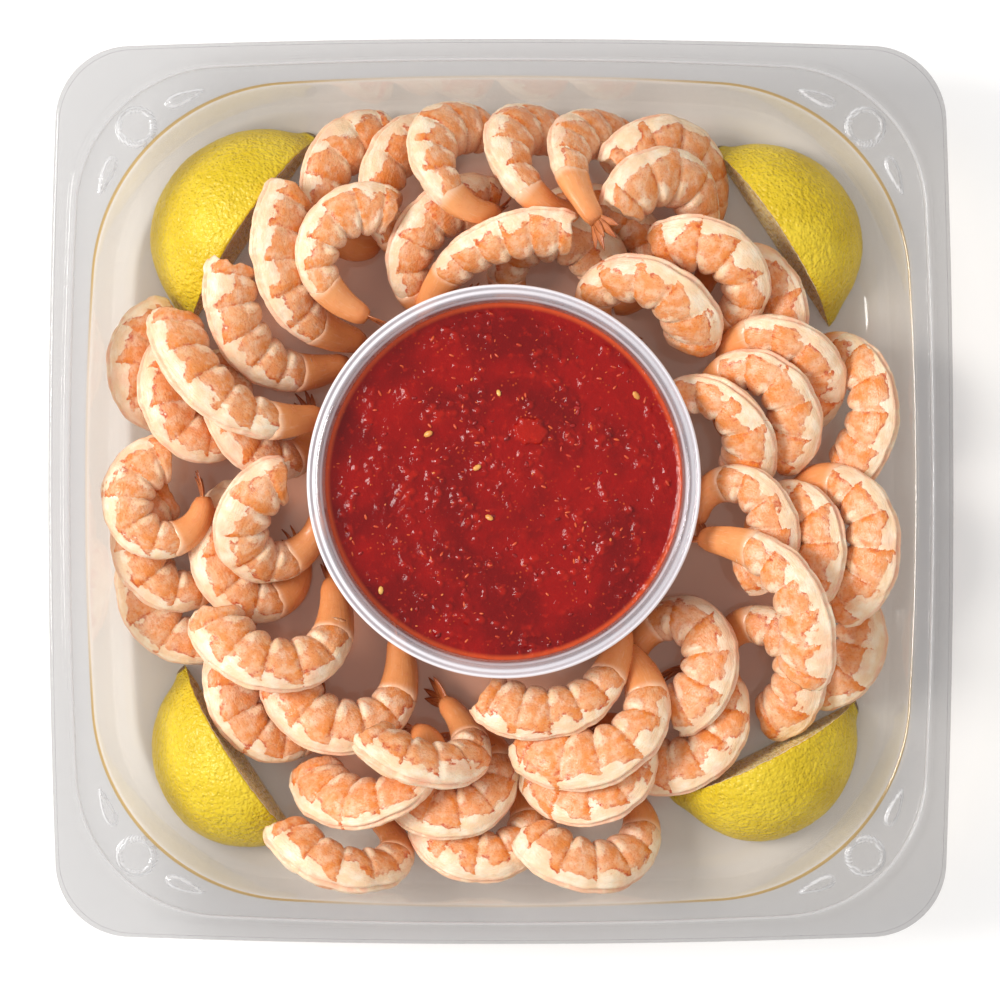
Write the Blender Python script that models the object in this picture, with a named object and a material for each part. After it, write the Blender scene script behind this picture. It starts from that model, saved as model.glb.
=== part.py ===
"""A clear square tray of shrimp around a clear cup of cocktail sauce, with four lemon wedges."""

import math

import bmesh
import bpy
import numpy as np
from mathutils import Euler, Matrix, Vector
from mathutils.bvhtree import BVHTree

MM = 0.001
GAP = 0.35

# Tray
PLASTIC = 1.0
FLANGE_HALF = 152.9
FLANGE_TOP = 44.0
FLANGE_CORNER = 25.5
FLANGE_BOW = 2.4
LIP_DEPTH = 3.0
RIB_OUTER_HALF = 148.2
RIB_INNER_HALF = 145.2
RIB_TOP = 45.6
RIB_CORNER = 49.5
LEDGE_TOP = 42.4
WELL_HALF = 139.4
WELL_CORNER = 69.0
WELL_BOW = 2.2
WELL_EDGE = 1.6
WALL_FOOT_HALF = 135.6
FOOT_ROUND = 9.5
FLOOR_TOP = 1.0
SIDE_STEPS = 2
CORNER_STEPS = 3

# Raised buttons and drop-shaped ribs in each corner of the ledge
BUTTON_REACH = 123.2
BUTTON_RADIUS = 6.7
BUTTON_RISE = 1.3
DROP_ALONG = 107.0
DROP_ACROSS = 133.2
DROP_LENGTH = 15.0
DROP_WIDTH = 6.4
DROP_RISE = 1.1

# Cup
CUP_X = 1.0
CUP_Y = 3.4
CUP_RIM_RADIUS = 66.4
CUP_WALL_TOP_RADIUS = 62.0
CUP_BASE_RADIUS = 55.6
CUP_HEIGHT = 46.6
CUP_WALL = 1.0
CUP_SIDES = 36

# Sauce
SAUCE_LEVEL = 38.0
SAUCE_SWIRL = 0.9
SAUCE_SIDES = 36
SAUCE_RINGS = 5

# Lemon wedges
LEMON_SEGMENTS = 6
LEMON_OPENING = 79.0
LEMON_LEAN = 8.0  # the lower cut face is lifted by this much at its outer edge

# Shrimp
SHRIMP_SIDES = 6
BODY_LENGTH = 54.0
SHELL_LENGTH = 17.0
FAN_LENGTH = 11.0


def clear_scene():
    for obj in list(bpy.data.objects):
        bpy.data.objects.remove(obj, do_unlink=True)


def material(name, color, roughness, metallic=0.0):
    made = bpy.data.materials.new(name)
    made.use_nodes = True
    shader = made.node_tree.nodes["Principled BSDF"]
    shader.inputs["Base Color"].default_value = (*color, 1.0)
    shader.inputs["Roughness"].default_value = roughness
    shader.inputs["Metallic"].default_value = metallic
    made.diffuse_color = (*color, 1.0)
    return made


def add_mesh(name, points_mm, faces, slot, smooth=False):
    """One object from points in millimetres, its faces turned outward."""
    mesh = bpy.data.meshes.new(name)
    mesh.from_pydata([Vector(p) * MM for p in points_mm], [], faces)
    shape = bmesh.new()
    shape.from_mesh(mesh)
    bmesh.ops.recalc_face_normals(shape, faces=shape.faces)
    shape.to_mesh(mesh)
    shape.free()
    for polygon in mesh.polygons:
        polygon.use_smooth = smooth
    mesh.materials.append(slot)
    obj = bpy.data.objects.new(name, mesh)
    bpy.context.scene.collection.objects.link(obj)
    return obj


def ring_faces(first, second, count):
    """Quads between two rings of the same count, given by their first point."""
    return [
        (first + i, first + (i + 1) % count, second + (i + 1) % count, second + i)
        for i in range(count)
    ]


def loft(name, rings, slot, smooth=True):
    """A closed body through rings of points, with a flat cap at each end."""
    count = len(rings[0])
    points = [p for ring in rings for p in ring]
    faces = []
    for i in range(len(rings) - 1):
        faces += ring_faces(i * count, (i + 1) * count, count)
    faces.append(tuple(range(count)))
    last = (len(rings) - 1) * count
    faces.append(tuple(last + i for i in reversed(range(count))))
    return add_mesh(name, points, faces, slot, smooth)


def bowed_square(half, corner, bow, z):
    """A square outline whose sides bow out and whose corners are arcs, anticlockwise."""
    tilt = 0.0
    for _ in range(6):
        centre = half - bow - corner * math.cos(tilt)
        side = centre + corner * math.sin(tilt)
        tilt = math.atan2(2.0 * bow, side)
    eighth = []
    for i in range(SIDE_STEPS):
        y = side * i / SIDE_STEPS
        eighth.append((half - bow * (y / side) ** 2, y))
    for i in range(CORNER_STEPS):
        angle = tilt + (math.pi / 4 - tilt) * i / CORNER_STEPS
        eighth.append((centre + corner * math.cos(angle), centre + corner * math.sin(angle)))
    diagonal = centre + corner * math.cos(math.pi / 4)
    quarter = eighth + [(diagonal, diagonal)]
    quarter += [(y, x) for x, y in reversed(eighth[1:])]
    outline = []
    for turn in range(4):
        cos_t, sin_t = (1, 0, -1, 0)[turn], (0, 1, 0, -1)[turn]
        for x, y in quarter:
            outline.append((x * cos_t - y * sin_t, x * sin_t + y * cos_t, z))
    return outline


def revolve(name, profile, sides, slot, centre=(0.0, 0.0), smooth=True):
    """A closed body turned from a (radius, height) profile about an upright axis."""
    rings = []
    for radius, z in profile:
        ring = []
        for i in range(sides):
            angle = 2.0 * math.pi * i / sides
            ring.append(
                (centre[0] + radius * math.cos(angle), centre[1] + radius * math.sin(angle), z)
            )
        rings.append(ring)
    return loft(name, rings, slot, smooth)


def wall_half(z):
    """Half the well's width at a height, down to where the foot starts to round."""
    low = FLOOR_TOP + FOOT_ROUND
    share = (z - low) / (LEDGE_TOP - low)
    return WALL_FOOT_HALF + (WELL_HALF - WALL_FOOT_HALF) * share


def wall_corner(z):
    share = z / LEDGE_TOP
    return WELL_CORNER - 9.0 * (1.0 - share)


def tray_rings():
    """The tray's section from the middle of the floor, up inside, over the rim and back underneath."""
    rings = [bowed_square(60.0, 30.0, 0.8, FLOOR_TOP)]
    low = FLOOR_TOP + FOOT_ROUND
    for angle in (90.0, 60.0, 30.0, 0.0):
        reach = FOOT_ROUND * (1.0 - math.cos(math.radians(angle)))
        z = FLOOR_TOP + FOOT_ROUND * (1.0 - math.sin(math.radians(angle)))
        half = WALL_FOOT_HALF - reach
        rings.append(bowed_square(half, wall_corner(z) - reach, WELL_BOW, z))
    edge = LEDGE_TOP - WELL_EDGE
    rings.append(bowed_square(wall_half(edge), WELL_CORNER, WELL_BOW, edge))
    half = wall_half(edge) + WELL_EDGE
    rings.append(bowed_square(half - 1.1, WELL_CORNER, WELL_BOW, LEDGE_TOP - 0.45))
    rings.append(bowed_square(half, WELL_CORNER, WELL_BOW, LEDGE_TOP))
    rings.append(bowed_square(RIB_INNER_HALF, RIB_CORNER, FLANGE_BOW, LEDGE_TOP))
    rings.append(bowed_square(RIB_INNER_HALF + 0.7, RIB_CORNER, FLANGE_BOW, RIB_TOP))
    rings.append(bowed_square(RIB_OUTER_HALF - 0.7, RIB_CORNER, FLANGE_BOW, RIB_TOP))
    rings.append(bowed_square(RIB_OUTER_HALF, RIB_CORNER, FLANGE_BOW, FLANGE_TOP))
    rings.append(bowed_square(FLANGE_HALF - 0.7, FLANGE_CORNER, FLANGE_BOW, FLANGE_TOP))
    rings.append(bowed_square(FLANGE_HALF, FLANGE_CORNER, FLANGE_BOW, FLANGE_TOP - 0.8))
    bottom = FLANGE_TOP - LIP_DEPTH
    rings.append(bowed_square(FLANGE_HALF, FLANGE_CORNER, FLANGE_BOW, bottom))
    rings.append(bowed_square(FLANGE_HALF - PLASTIC, FLANGE_CORNER, FLANGE_BOW, bottom))
    under = FLANGE_TOP - PLASTIC
    rings.append(bowed_square(FLANGE_HALF - PLASTIC, FLANGE_CORNER, FLANGE_BOW, under))
    rings.append(bowed_square(RIB_OUTER_HALF - 0.4, RIB_CORNER, FLANGE_BOW, under))
    under = LEDGE_TOP - PLASTIC
    rings.append(bowed_square(RIB_INNER_HALF - 0.4, RIB_CORNER, FLANGE_BOW, under))
    rings.append(bowed_square(half + PLASTIC, WELL_CORNER, WELL_BOW, under))
    rings.append(bowed_square(wall_half(edge) + PLASTIC, WELL_CORNER, WELL_BOW, edge - 0.8))
    for angle in (0.0, 45.0, 90.0):
        radius = FOOT_ROUND + PLASTIC
        reach = radius * (1.0 - math.cos(math.radians(angle)))
        z = low - radius * math.sin(math.radians(angle))
        half = WALL_FOOT_HALF + PLASTIC - reach
        rings.append(bowed_square(half, wall_corner(z) - reach, WELL_BOW, z))
    return rings


def drop_outline(length, width, steps=10):
    """A drop shape, round at the far end and narrow at the near end, pointing along +X."""
    outline = []
    for i in range(steps):
        angle = 2.0 * math.pi * i / steps
        x = math.cos(angle)
        y = math.sin(angle) * (0.66 + 0.34 * x)
        outline.append((0.5 * length * x, 0.5 * width * y))
    return outline


def corner_features(slot):
    """The button and the two drop-shaped ribs in each corner, as one helper for the union."""
    points = []
    faces = []

    def stud(outline, x, y, turn, rise):
        first = len(points)
        count = len(outline)
        levels = ((1.0, LEDGE_TOP - 0.5), (1.0, LEDGE_TOP + 0.6 * rise), (0.8, LEDGE_TOP + rise))
        for scale, z in levels:
            for px, py in outline:
                px, py = px * scale, py * scale
                points.append(
                    (
                        x + px * math.cos(turn) - py * math.sin(turn),
                        y + px * math.sin(turn) + py * math.cos(turn),
                        z,
                    )
                )
        faces.append(tuple(first + i for i in reversed(range(count))))
        faces.extend(ring_faces(first, first + count, count))
        faces.extend(ring_faces(first + count, first + 2 * count, count))
        faces.append(tuple(first + 2 * count + i for i in range(count)))

    circle = [
        (BUTTON_RADIUS * math.cos(math.pi * i / 6), BUTTON_RADIUS * math.sin(math.pi * i / 6))
        for i in range(12)
    ]
    drop = drop_outline(DROP_LENGTH, DROP_WIDTH)
    for turn in range(4):
        spin = math.pi / 2 * turn
        for x, y, angle, outline, rise in (
            (BUTTON_REACH, BUTTON_REACH, 0.0, circle, BUTTON_RISE),
            (DROP_ALONG, DROP_ACROSS, math.radians(-22.0), drop, DROP_RISE),
            (DROP_ACROSS, DROP_ALONG, math.radians(112.0), drop, DROP_RISE),
        ):
            world_x = x * math.cos(spin) - y * math.sin(spin)
            world_y = x * math.sin(spin) + y * math.cos(spin)
            stud(outline, world_x, world_y, angle + spin, rise)
    studs = add_mesh("corner_studs", points, faces, slot)
    studs.hide_render = True
    studs.display_type = "WIRE"
    return studs


def make_tray(slot):
    tray = loft("tray", tray_rings(), slot)
    union = tray.modifiers.new("corner_studs", "BOOLEAN")
    union.operation = "UNION"
    union.solver = "EXACT"
    union.object = corner_features(slot)
    return tray


def make_cup(slot):
    top = CUP_HEIGHT
    rim = CUP_RIM_RADIUS
    inner = CUP_WALL_TOP_RADIUS - CUP_WALL
    base = FLOOR_TOP + GAP
    profile = [
        (CUP_BASE_RADIUS - 1.5, base),
        (CUP_BASE_RADIUS, base + 1.5),
        (CUP_WALL_TOP_RADIUS, top - 4.6),
        (rim - 2.0, top - 4.2),
        (rim - 1.0, top - 4.4),
        (rim, top - 3.6),
        (rim, top - 1.2),
        (rim - 0.8, top - 0.4),
        (rim - 1.8, top - 1.0),
        (rim - 2.9, top - 0.2),
        (rim - 4.0, top),
        (inner + 0.6, top - 1.4),
        (inner, top - 4.0),
        (CUP_BASE_RADIUS - CUP_WALL, base + 2.2),
        (CUP_BASE_RADIUS - CUP_WALL - 1.4, base + CUP_WALL),
    ]
    return revolve("cup", profile, CUP_SIDES, slot, (CUP_X, CUP_Y))


def cup_inner_radius(z):
    low = FLOOR_TOP + GAP + 2.2
    high = CUP_HEIGHT - 4.0
    share = (z - low) / (high - low)
    foot = CUP_BASE_RADIUS - CUP_WALL
    return foot + (CUP_WALL_TOP_RADIUS - CUP_WALL - foot) * share


def sauce_height(radius, angle):
    """The sauce's top: low swirls that die away at the wall."""
    share = radius / cup_inner_radius(SAUCE_LEVEL)
    swirl = math.sin(3.0 * math.pi * share + 1.5 * angle) * (1.0 - share)
    mound = math.exp(-((share / 0.45) ** 2))
    return SAUCE_LEVEL + SAUCE_SWIRL * (0.6 * swirl + mound)


def make_sauce(slot):
    count = SAUCE_SIDES
    low = FLOOR_TOP + GAP + CUP_WALL + GAP
    foot = CUP_BASE_RADIUS - CUP_WALL - 1.5 - GAP
    edge = cup_inner_radius(SAUCE_LEVEL) - GAP
    rings = []
    levels = [(foot, low), (cup_inner_radius(low + 2.0) - GAP, low + 2.0)]
    for radius, z in levels:
        rings.append([(radius, 2.0 * math.pi * i / count, z) for i in range(count)])
    for step in range(SAUCE_RINGS):
        radius = edge * (1.0 - step / SAUCE_RINGS)
        ring = []
        for i in range(count):
            angle = 2.0 * math.pi * i / count
            z = SAUCE_LEVEL if step == 0 else sauce_height(radius, angle)
            ring.append((radius, angle, z))
        rings.append(ring)
    points = [
        (CUP_X + r * math.cos(a), CUP_Y + r * math.sin(a), z) for ring in rings for r, a, z in ring
    ]
    faces = [tuple(range(count))]
    for i in range(len(rings) - 1):
        faces += ring_faces(i * count, (i + 1) * count, count)
    points.append((CUP_X, CUP_Y, sauce_height(0.0, 0.0)))
    tip = len(points) - 1
    last = (len(rings) - 1) * count
    faces += [(last + i, last + (i + 1) % count, tip) for i in range(count)]
    return add_mesh("sauce", points, faces, slot, True)


# A lemon's outline from blossom end to stem end: share of half its length, share of its radius
LEMON_OUTLINE = (
    (-1.0, 0.0),
    (-0.97, 0.11),
    (-0.90, 0.26),
    (-0.78, 0.53),
    (-0.58, 0.79),
    (-0.30, 0.96),
    (0.0, 1.0),
    (0.32, 0.93),
    (0.60, 0.74),
    (0.80, 0.48),
    (0.91, 0.22),
    (0.98, 0.11),
    (1.0, 0.0),
)

# Each wedge: name, where its inner edge rests, the way its skin faces, length, radius, stem side
LEMONS = (
    ("lemon_back_left", -86.8, 90.8, 146.0, 82.0, 35.0, -1),
    ("lemon_back_right", 94.7, 89.2, 33.5, 75.0, 30.8, 1),
    ("lemon_front_left", -90.7, -91.6, 213.5, 74.0, 31.5, -1),
    ("lemon_front_right", 91.9, -90.2, 297.0, 74.0, 31.5, 1),
)


def make_lemon(name, x, y, facing, length, radius, stem, slot):
    """A wedge lying on one cut face, with the other rising beside the shrimp."""
    turn = math.radians(facing)
    out = Vector((math.cos(turn), math.sin(turn), 0.0))
    along = Vector((-out.y, out.x, 0.0)) * stem
    up = Vector((0.0, 0.0, 1.0))
    corner = Vector((x, y, FLOOR_TOP + GAP))
    steps = LEMON_SEGMENTS + 1
    points = []
    for share, _ in (LEMON_OUTLINE[0], LEMON_OUTLINE[-1]):
        points.append(corner + along * (share * length / 2))
    for share, size in LEMON_OUTLINE[1:-1]:
        for i in range(steps):
            angle = math.radians(LEMON_LEAN + LEMON_OPENING * i / LEMON_SEGMENTS)
            reach = size * radius
            points.append(
                corner
                + along * (share * length / 2)
                + out * (reach * math.cos(angle))
                + up * (reach * math.sin(angle))
            )
    rows = len(LEMON_OUTLINE) - 2
    faces = []
    for i in range(LEMON_SEGMENTS):
        faces.append((0, 2 + i, 3 + i))
        last = 2 + (rows - 1) * steps + i
        faces.append((1, last + 1, last))
        for row in range(rows - 1):
            first = 2 + row * steps + i
            faces.append((first, first + steps, first + steps + 1, first + 1))
    for edge in (0, LEMON_SEGMENTS):
        faces.append(tuple([0] + [2 + row * steps + edge for row in range(rows)] + [1]))
    return add_mesh(name, points, faces, slot)


# Shrimp sections from the cut neck to the tail tip: place along, half depth, half width
SECTIONS = (
    (0.0, 7.9, 4.8),
    (4.5, 9.9, 6.0),
    (14.0, 10.3, 6.2),
    (24.0, 9.9, 6.0),
    (34.0, 9.1, 5.6),
    (44.0, 7.9, 5.1),
    (54.0, 6.3, 4.4),
    (71.0, 3.4, 2.8),
    (75.0, 1.8, 3.3),
    (82.0, 0.9, 3.0),
)

# How far each shape turns, in degrees: over the body, the tail shell and the fan
SHAPES = {
    "ring": (205.0, 62.0, 25.0),
    "curl": (185.0, 70.0, 35.0),
    "arch": (150.0, 68.0, 35.0),
    "hook": (160.0, 22.0, 0.0),
    "open": (110.0, 12.0, -5.0),
    "long": (68.0, 6.0, -5.0),
}


def spine_of(shape, step=1.0):
    """The middle line in its own plane: place along, x, y and heading, with the back's middle
    at the origin and facing +X, running anticlockwise from neck to tail."""
    body, shell, fan = (math.radians(turn) for turn in SHAPES[shape])
    total = BODY_LENGTH + SHELL_LENGTH + FAN_LENGTH
    line = []
    x = y = heading = along = 0.0
    while along < total + step / 2:
        line.append([along, x, y, heading])
        if along < BODY_LENGTH:
            bend = body / BODY_LENGTH * (0.8 + 0.4 * along / BODY_LENGTH)
        elif along < BODY_LENGTH + SHELL_LENGTH:
            bend = shell / SHELL_LENGTH
        else:
            bend = fan / FAN_LENGTH
        middle = heading + 0.5 * bend * step
        x += step * math.cos(middle)
        y += step * math.sin(middle)
        heading += bend * step
        along += step
    line = np.array(line)
    centre = line[int(round(0.5 * BODY_LENGTH / step))]
    turn = math.pi / 2 - centre[3]
    cos_t, sin_t = math.cos(turn), math.sin(turn)
    dx, dy = line[:, 1] - centre[1], line[:, 2] - centre[2]
    depth = np.interp(centre[0], [s[0] for s in SECTIONS], [s[1] for s in SECTIONS])
    line[:, 1] = dx * cos_t - dy * sin_t - depth
    line[:, 2] = dx * sin_t + dy * cos_t
    line[:, 3] += turn
    return line


def shrimp_mould(shape):
    """The faceted shrimp of one shape: its points and its faces."""
    line = spine_of(shape)
    points = []
    for along, depth, width in SECTIONS:
        x = np.interp(along, line[:, 0], line[:, 1])
        y = np.interp(along, line[:, 0], line[:, 2])
        heading = np.interp(along, line[:, 0], line[:, 3])
        out_x, out_y = math.sin(heading), -math.cos(heading)
        for i in range(SHRIMP_SIDES):
            angle = math.pi / SHRIMP_SIDES + 2.0 * math.pi * i / SHRIMP_SIDES
            reach = depth * math.cos(angle) * 1.08
            points.append((x + out_x * reach, y + out_y * reach, width * math.sin(angle)))
    count = SHRIMP_SIDES
    faces = [tuple(reversed(range(count)))]
    for i in range(len(SECTIONS) - 1):
        faces += ring_faces(i * count, (i + 1) * count, count)
    last = (len(SECTIONS) - 1) * count
    faces.append(tuple(last + i for i in range(count)))
    return np.array(points), faces


# Every shrimp from the bottom of the heap up: number, shape, size, where the middle of its
# back lies, the way its back faces, how far the back leans up, and 1 when neck to tail runs
# anticlockwise from above
HEAP = (
    (50, "arch", 1.00, -133, -53, 215, 30, 1),
    (49, "curl", 1.00, -139, -26, 195, 28, 1),
    (48, "ring", 0.92, -136, -5, 185, 18, 1),
    (1, "curl", 0.98, -139, 41, 182, 25, 1),
    (2, "curl", 1.00, -130, 21, 202, 30, 1),
    (47, "arch", 1.00, -104, 10, 215, 40, 1),
    (46, "curl", 1.05, -113, -24, 195, 22, 1),
    (3, "open", 1.08, -107, 23, 222, 35, 1),
    (45, "ring", 1.02, -98, -13, 190, 18, 1),
    (16, "arch", 1.00, 39, 106, 75, 40, 0),
    (17, "curl", 1.02, 18, 95, 90, 35, 1),
    (9, "arch", 1.00, -66, 120, 145, 45, 1),
    (10, "arch", 0.98, -49, 124, 150, 45, 1),
    (7, "arch", 1.02, -38, 105, 135, 30, 1),
    (11, "arch", 1.00, -32, 133, 148, 45, 1),
    (12, "arch", 1.02, -12, 132, 147, 45, 1),
    (8, "long", 0.94, -7, 101, 112, 22, 1),
    (13, "open", 0.98, 17, 133, 130, 25, 1),
    (14, "hook", 1.05, 60, 134, 75, 10, 0),
    (15, "curl", 1.04, 58, 117, 75, 35, 0),
    (4, "open", 1.02, -97, 45, 215, 45, 1),
    (5, "open", 1.05, -90, 73, 192, 40, 1),
    (6, "hook", 0.90, -71, 96, 137, 15, 1),
    (20, "arch", 0.92, 103, 73, 25, 40, 1),
    (18, "curl", 1.02, 85, 85, 45, 35, 0),
    (22, "arch", 1.05, 141, 35, 2, 48, 1),
    (21, "curl", 1.02, 122, 49, 22, 45, 1),
    (23, "curl", 1.00, 109, 42, 25, 42, 1),
    (31, "curl", 1.00, 138, -57, 355, 35, 1),
    (27, "arch", 1.06, 141, -12, 0, 40, 1),
    (19, "curl", 1.08, 66, 79, 60, 30, 1),
    (24, "curl", 1.00, 92, 34, 28, 35, 1),
    (26, "curl", 0.98, 121, -8, 10, 40, 1),
    (25, "curl", 0.94, 105, -3, 10, 25, 1),
    (30, "curl", 1.00, 121, -60, 5, 35, 1),
    (28, "open", 1.04, 108, -31, 20, 20, 1),
    (36, "arch", 1.02, 82, -100, 305, 35, 1),
    (29, "ring", 1.06, 87, -55, 15, 15, 1),
    (38, "curl", 1.00, -6, -138, 270, 38, 1),
    (35, "arch", 1.04, 35, -140, 275, 40, 1),
    (34, "curl", 1.00, 36, -123, 280, 38, 1),
    (37, "curl", 1.00, -4, -122, 285, 30, 1),
    (41, "arch", 1.02, -54, -139, 262, 38, 1),
    (43, "arch", 0.98, -99, -85, 215, 28, 1),
    (40, "arch", 1.05, -51, -116, 262, 35, 1),
    (33, "hook", 1.14, 41, -105, 290, 35, 1),
    (32, "open", 0.98, 20, -84, 280, 25, 1),
    (42, "hook", 1.05, -61, -90, 262, 28, 1),
    (39, "hook", 1.02, -18, -101, 280, 25, 1),
    (44, "hook", 1.10, -83, -68, 262, 32, 1),
)

# The few whose backs lean up another way than they face
LEANS_TOWARD = {9: 185.0, 10: 185.0, 11: 185.0, 12: 180.0, 13: 165.0}

CELL = 1.0
REACH = 160
TILT_STEPS = tuple(range(0, 67, 6))
TILT_TURNS = 16
SHIFTS = ((0, 0), (-3, 0), (-6, 0), (-9, 0), (2, 0), (0, 4), (0, -4), (-5, 5), (-5, -5))
SHIFT_COST = 0.55
ASTRAY_COST = 0.25
HIGH = 46.0
HIGH_COST = 0.8
TRIALS = 24
SINK = 16.0
SINK_STEP = 1.0
LOWER_STEP = 0.25
SURFACE_STEP = 0.8


def well_height(x, y):
    """The height of the tray's inside over a point: floor, rounded foot, wall, then blocked."""
    corner = wall_corner(LEDGE_TOP / 2)
    bow = WELL_BOW * (np.minimum(abs(x), abs(y)) / 100.0) ** 2
    qx = abs(x) - (WALL_FOOT_HALF - bow - corner)
    qy = abs(y) - (WALL_FOOT_HALF - bow - corner)
    outside = np.hypot(np.maximum(qx, 0.0), np.maximum(qy, 0.0))
    beyond = outside + np.minimum(np.maximum(qx, qy), 0.0) - corner + GAP
    low = FLOOR_TOP + FOOT_ROUND
    into_foot = np.clip(beyond + FOOT_ROUND, 0.0, FOOT_ROUND)
    foot = low - np.sqrt(np.maximum(FOOT_ROUND**2 - into_foot**2, 0.0))
    wall = low + beyond / (WELL_HALF - WALL_FOOT_HALF) * (LEDGE_TOP - low)
    height = np.where(beyond > 0.0, wall, foot)
    return np.where(height > LEDGE_TOP, LEDGE_TOP + 30.0, height)


def cup_clear_radius(z):
    """How far from the cup's axis a shrimp must stay at a height."""
    share = np.clip(z / (CUP_HEIGHT - 4.6), 0.0, 1.0)
    wall = CUP_BASE_RADIUS + (CUP_WALL_TOP_RADIUS - CUP_BASE_RADIUS) * share
    return np.where(z > CUP_HEIGHT - 5.8, CUP_RIM_RADIUS, wall) + 0.6


def surface_samples(points, faces, step):
    """Points spread over the faces of a shape, no further apart than the step."""
    found = [points]
    for face in faces:
        for i in range(1, len(face) - 1):
            a, b, c = points[face[0]], points[face[i]], points[face[i + 1]]
            longest = max(np.linalg.norm(b - a), np.linalg.norm(c - a), np.linalg.norm(c - b))
            count = max(1, int(math.ceil(longest / step)))
            u, v = np.meshgrid(np.arange(count + 1) / count, np.arange(count + 1) / count)
            keep = u + v <= 1.0 + 1e-9
            u, v = u[keep][:, None], v[keep][:, None]
            found.append(a + u * (b - a) + v * (c - a))
    return np.concatenate(found)


def cells_of(points):
    column = np.clip(np.round(points[:, 0] / CELL).astype(int) + REACH, 0, 2 * REACH)
    row = np.clip(np.round(points[:, 1] / CELL).astype(int) + REACH, 0, 2 * REACH)
    return column, row


def turn_matrix(azimuth, tilt):
    """Tilts by an angle about a level axis that lies in the azimuth direction."""
    axis = Vector((math.cos(azimuth), math.sin(azimuth), 0.0))
    return np.array(Matrix.Rotation(tilt, 3, axis))


def tree_of(points, faces):
    return BVHTree.FromPolygons([Vector(p) for p in points], faces, all_triangles=False)


class Heap:
    """The tray filled so far: its heights for a first guess, and its bodies for the exact fit."""

    def __init__(self, bodies):
        grid = np.arange(-REACH, REACH + 1) * CELL
        x, y = np.meshgrid(grid, grid, indexing="ij")
        self.heights = well_height(x, y)
        self.bodies = []
        for points, faces in bodies:
            self.add(points, faces)

    def add(self, points, faces):
        samples = surface_samples(points, faces, SURFACE_STEP)
        column, row = cells_of(samples)
        np.maximum.at(self.heights, (column, row), samples[:, 2])
        self.bodies.append((tree_of(points, faces), points.min(axis=0), points.max(axis=0)))

    def touches(self, points, faces):
        low, high = points.min(axis=0), points.max(axis=0)
        tree = None
        for other, other_low, other_high in self.bodies:
            if (low > other_high + 0.1).any() or (high < other_low - 0.1).any():
                continue
            if tree is None:
                tree = tree_of(points, faces)
            if tree.overlap(other):
                return True
        return False

    def settle(self, points, faces, x, y, facing, upright):
        """Sets the shape down where it lies lowest near a spot, nested against what is there."""
        turn = math.radians(facing)
        out = np.array((math.cos(turn), math.sin(turn)))
        centre = points.mean(axis=0)
        shape = points - centre
        coarse = surface_samples(shape, faces, 2.5)
        push = 0.0
        ways = []
        while not ways:
            ways = self.ways_to_lie(coarse, -centre, (x, y), out, upright, push)
            push += 2.0
        best = None
        for cost, matrix, shift in ways[:TRIALS]:
            placed = shape @ matrix.T + shift
            room = placed[:, 2].min() - (FLOOR_TOP + GAP)
            sink = -min(SINK, max(room, 0.0))
            while self.touches(placed + (0.0, 0.0, sink), faces):
                sink += SINK_STEP
            if best is None or cost + sink < best[0]:
                best = (cost + sink, placed + (0.0, 0.0, sink))
        placed = best[1]
        low = FLOOR_TOP + GAP
        while not self.touches(placed, faces) and placed[:, 2].min() > low:
            placed[:, 2] -= LOWER_STEP
        placed[:, 2] += max(0.0, low - placed[:, 2].min())
        while self.touches(placed, faces):
            placed[:, 2] += LOWER_STEP
        lifted = placed + (0.0, 0.0, GAP)
        return placed if self.touches(lifted, faces) else lifted

    def ways_to_lie(self, coarse, back, spot, out, upright, push):
        """Clear ways to lie near a spot, the lowest first, pushed out from the cup if need be."""
        side = np.array((-out[1], out[0]))
        from_cup = np.array((spot[0] - CUP_X, spot[1] - CUP_Y))
        away = from_cup / np.linalg.norm(from_cup) * push
        ways = []
        for tilt_step in TILT_STEPS:
            for turn_step in range(TILT_TURNS if tilt_step else 1):
                azimuth = 2.0 * math.pi * turn_step / TILT_TURNS
                matrix = turn_matrix(azimuth, math.radians(tilt_step))
                samples = coarse @ matrix.T
                reach = (samples[:, :2] @ out).max()
                middle = (matrix @ back)[:2] @ side
                low = samples[:, 2].min()
                astray = math.degrees(math.acos(min(1.0, matrix[:, 2] @ upright)))
                for shift_out, shift_side in SHIFTS:
                    plan = (
                        np.array(spot)
                        + away
                        + out * (shift_out - reach)
                        + side * (shift_side - middle)
                    )
                    moved = samples[:, :2] + plan
                    column, row = cells_of(moved)
                    height = (self.heights[column, row] - samples[:, 2]).max()
                    height = max(height, FLOOR_TOP + GAP - low)
                    z = samples[:, 2] + height
                    radius = np.hypot(moved[:, 0] - CUP_X, moved[:, 1] - CUP_Y)
                    if (radius < cup_clear_radius(z)).any():
                        continue
                    cost = height + SHIFT_COST * math.hypot(shift_out, shift_side)
                    cost += ASTRAY_COST * astray + HIGH_COST * max(0.0, z.max() - HIGH)
                    ways.append((cost, matrix, np.array((plan[0], plan[1], height))))
        return sorted(ways, key=lambda way: way[0])


def mesh_of(obj):
    """The points, in millimetres, and the faces of a finished object with its modifiers."""
    bpy.context.view_layer.update()
    evaluated = obj.evaluated_get(bpy.context.evaluated_depsgraph_get())
    mesh = evaluated.to_mesh()
    points = np.array([vertex.co[:] for vertex in mesh.vertices]) / MM
    faces = [tuple(polygon.vertices) for polygon in mesh.polygons]
    evaluated.to_mesh_clear()
    return points, faces


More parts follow.
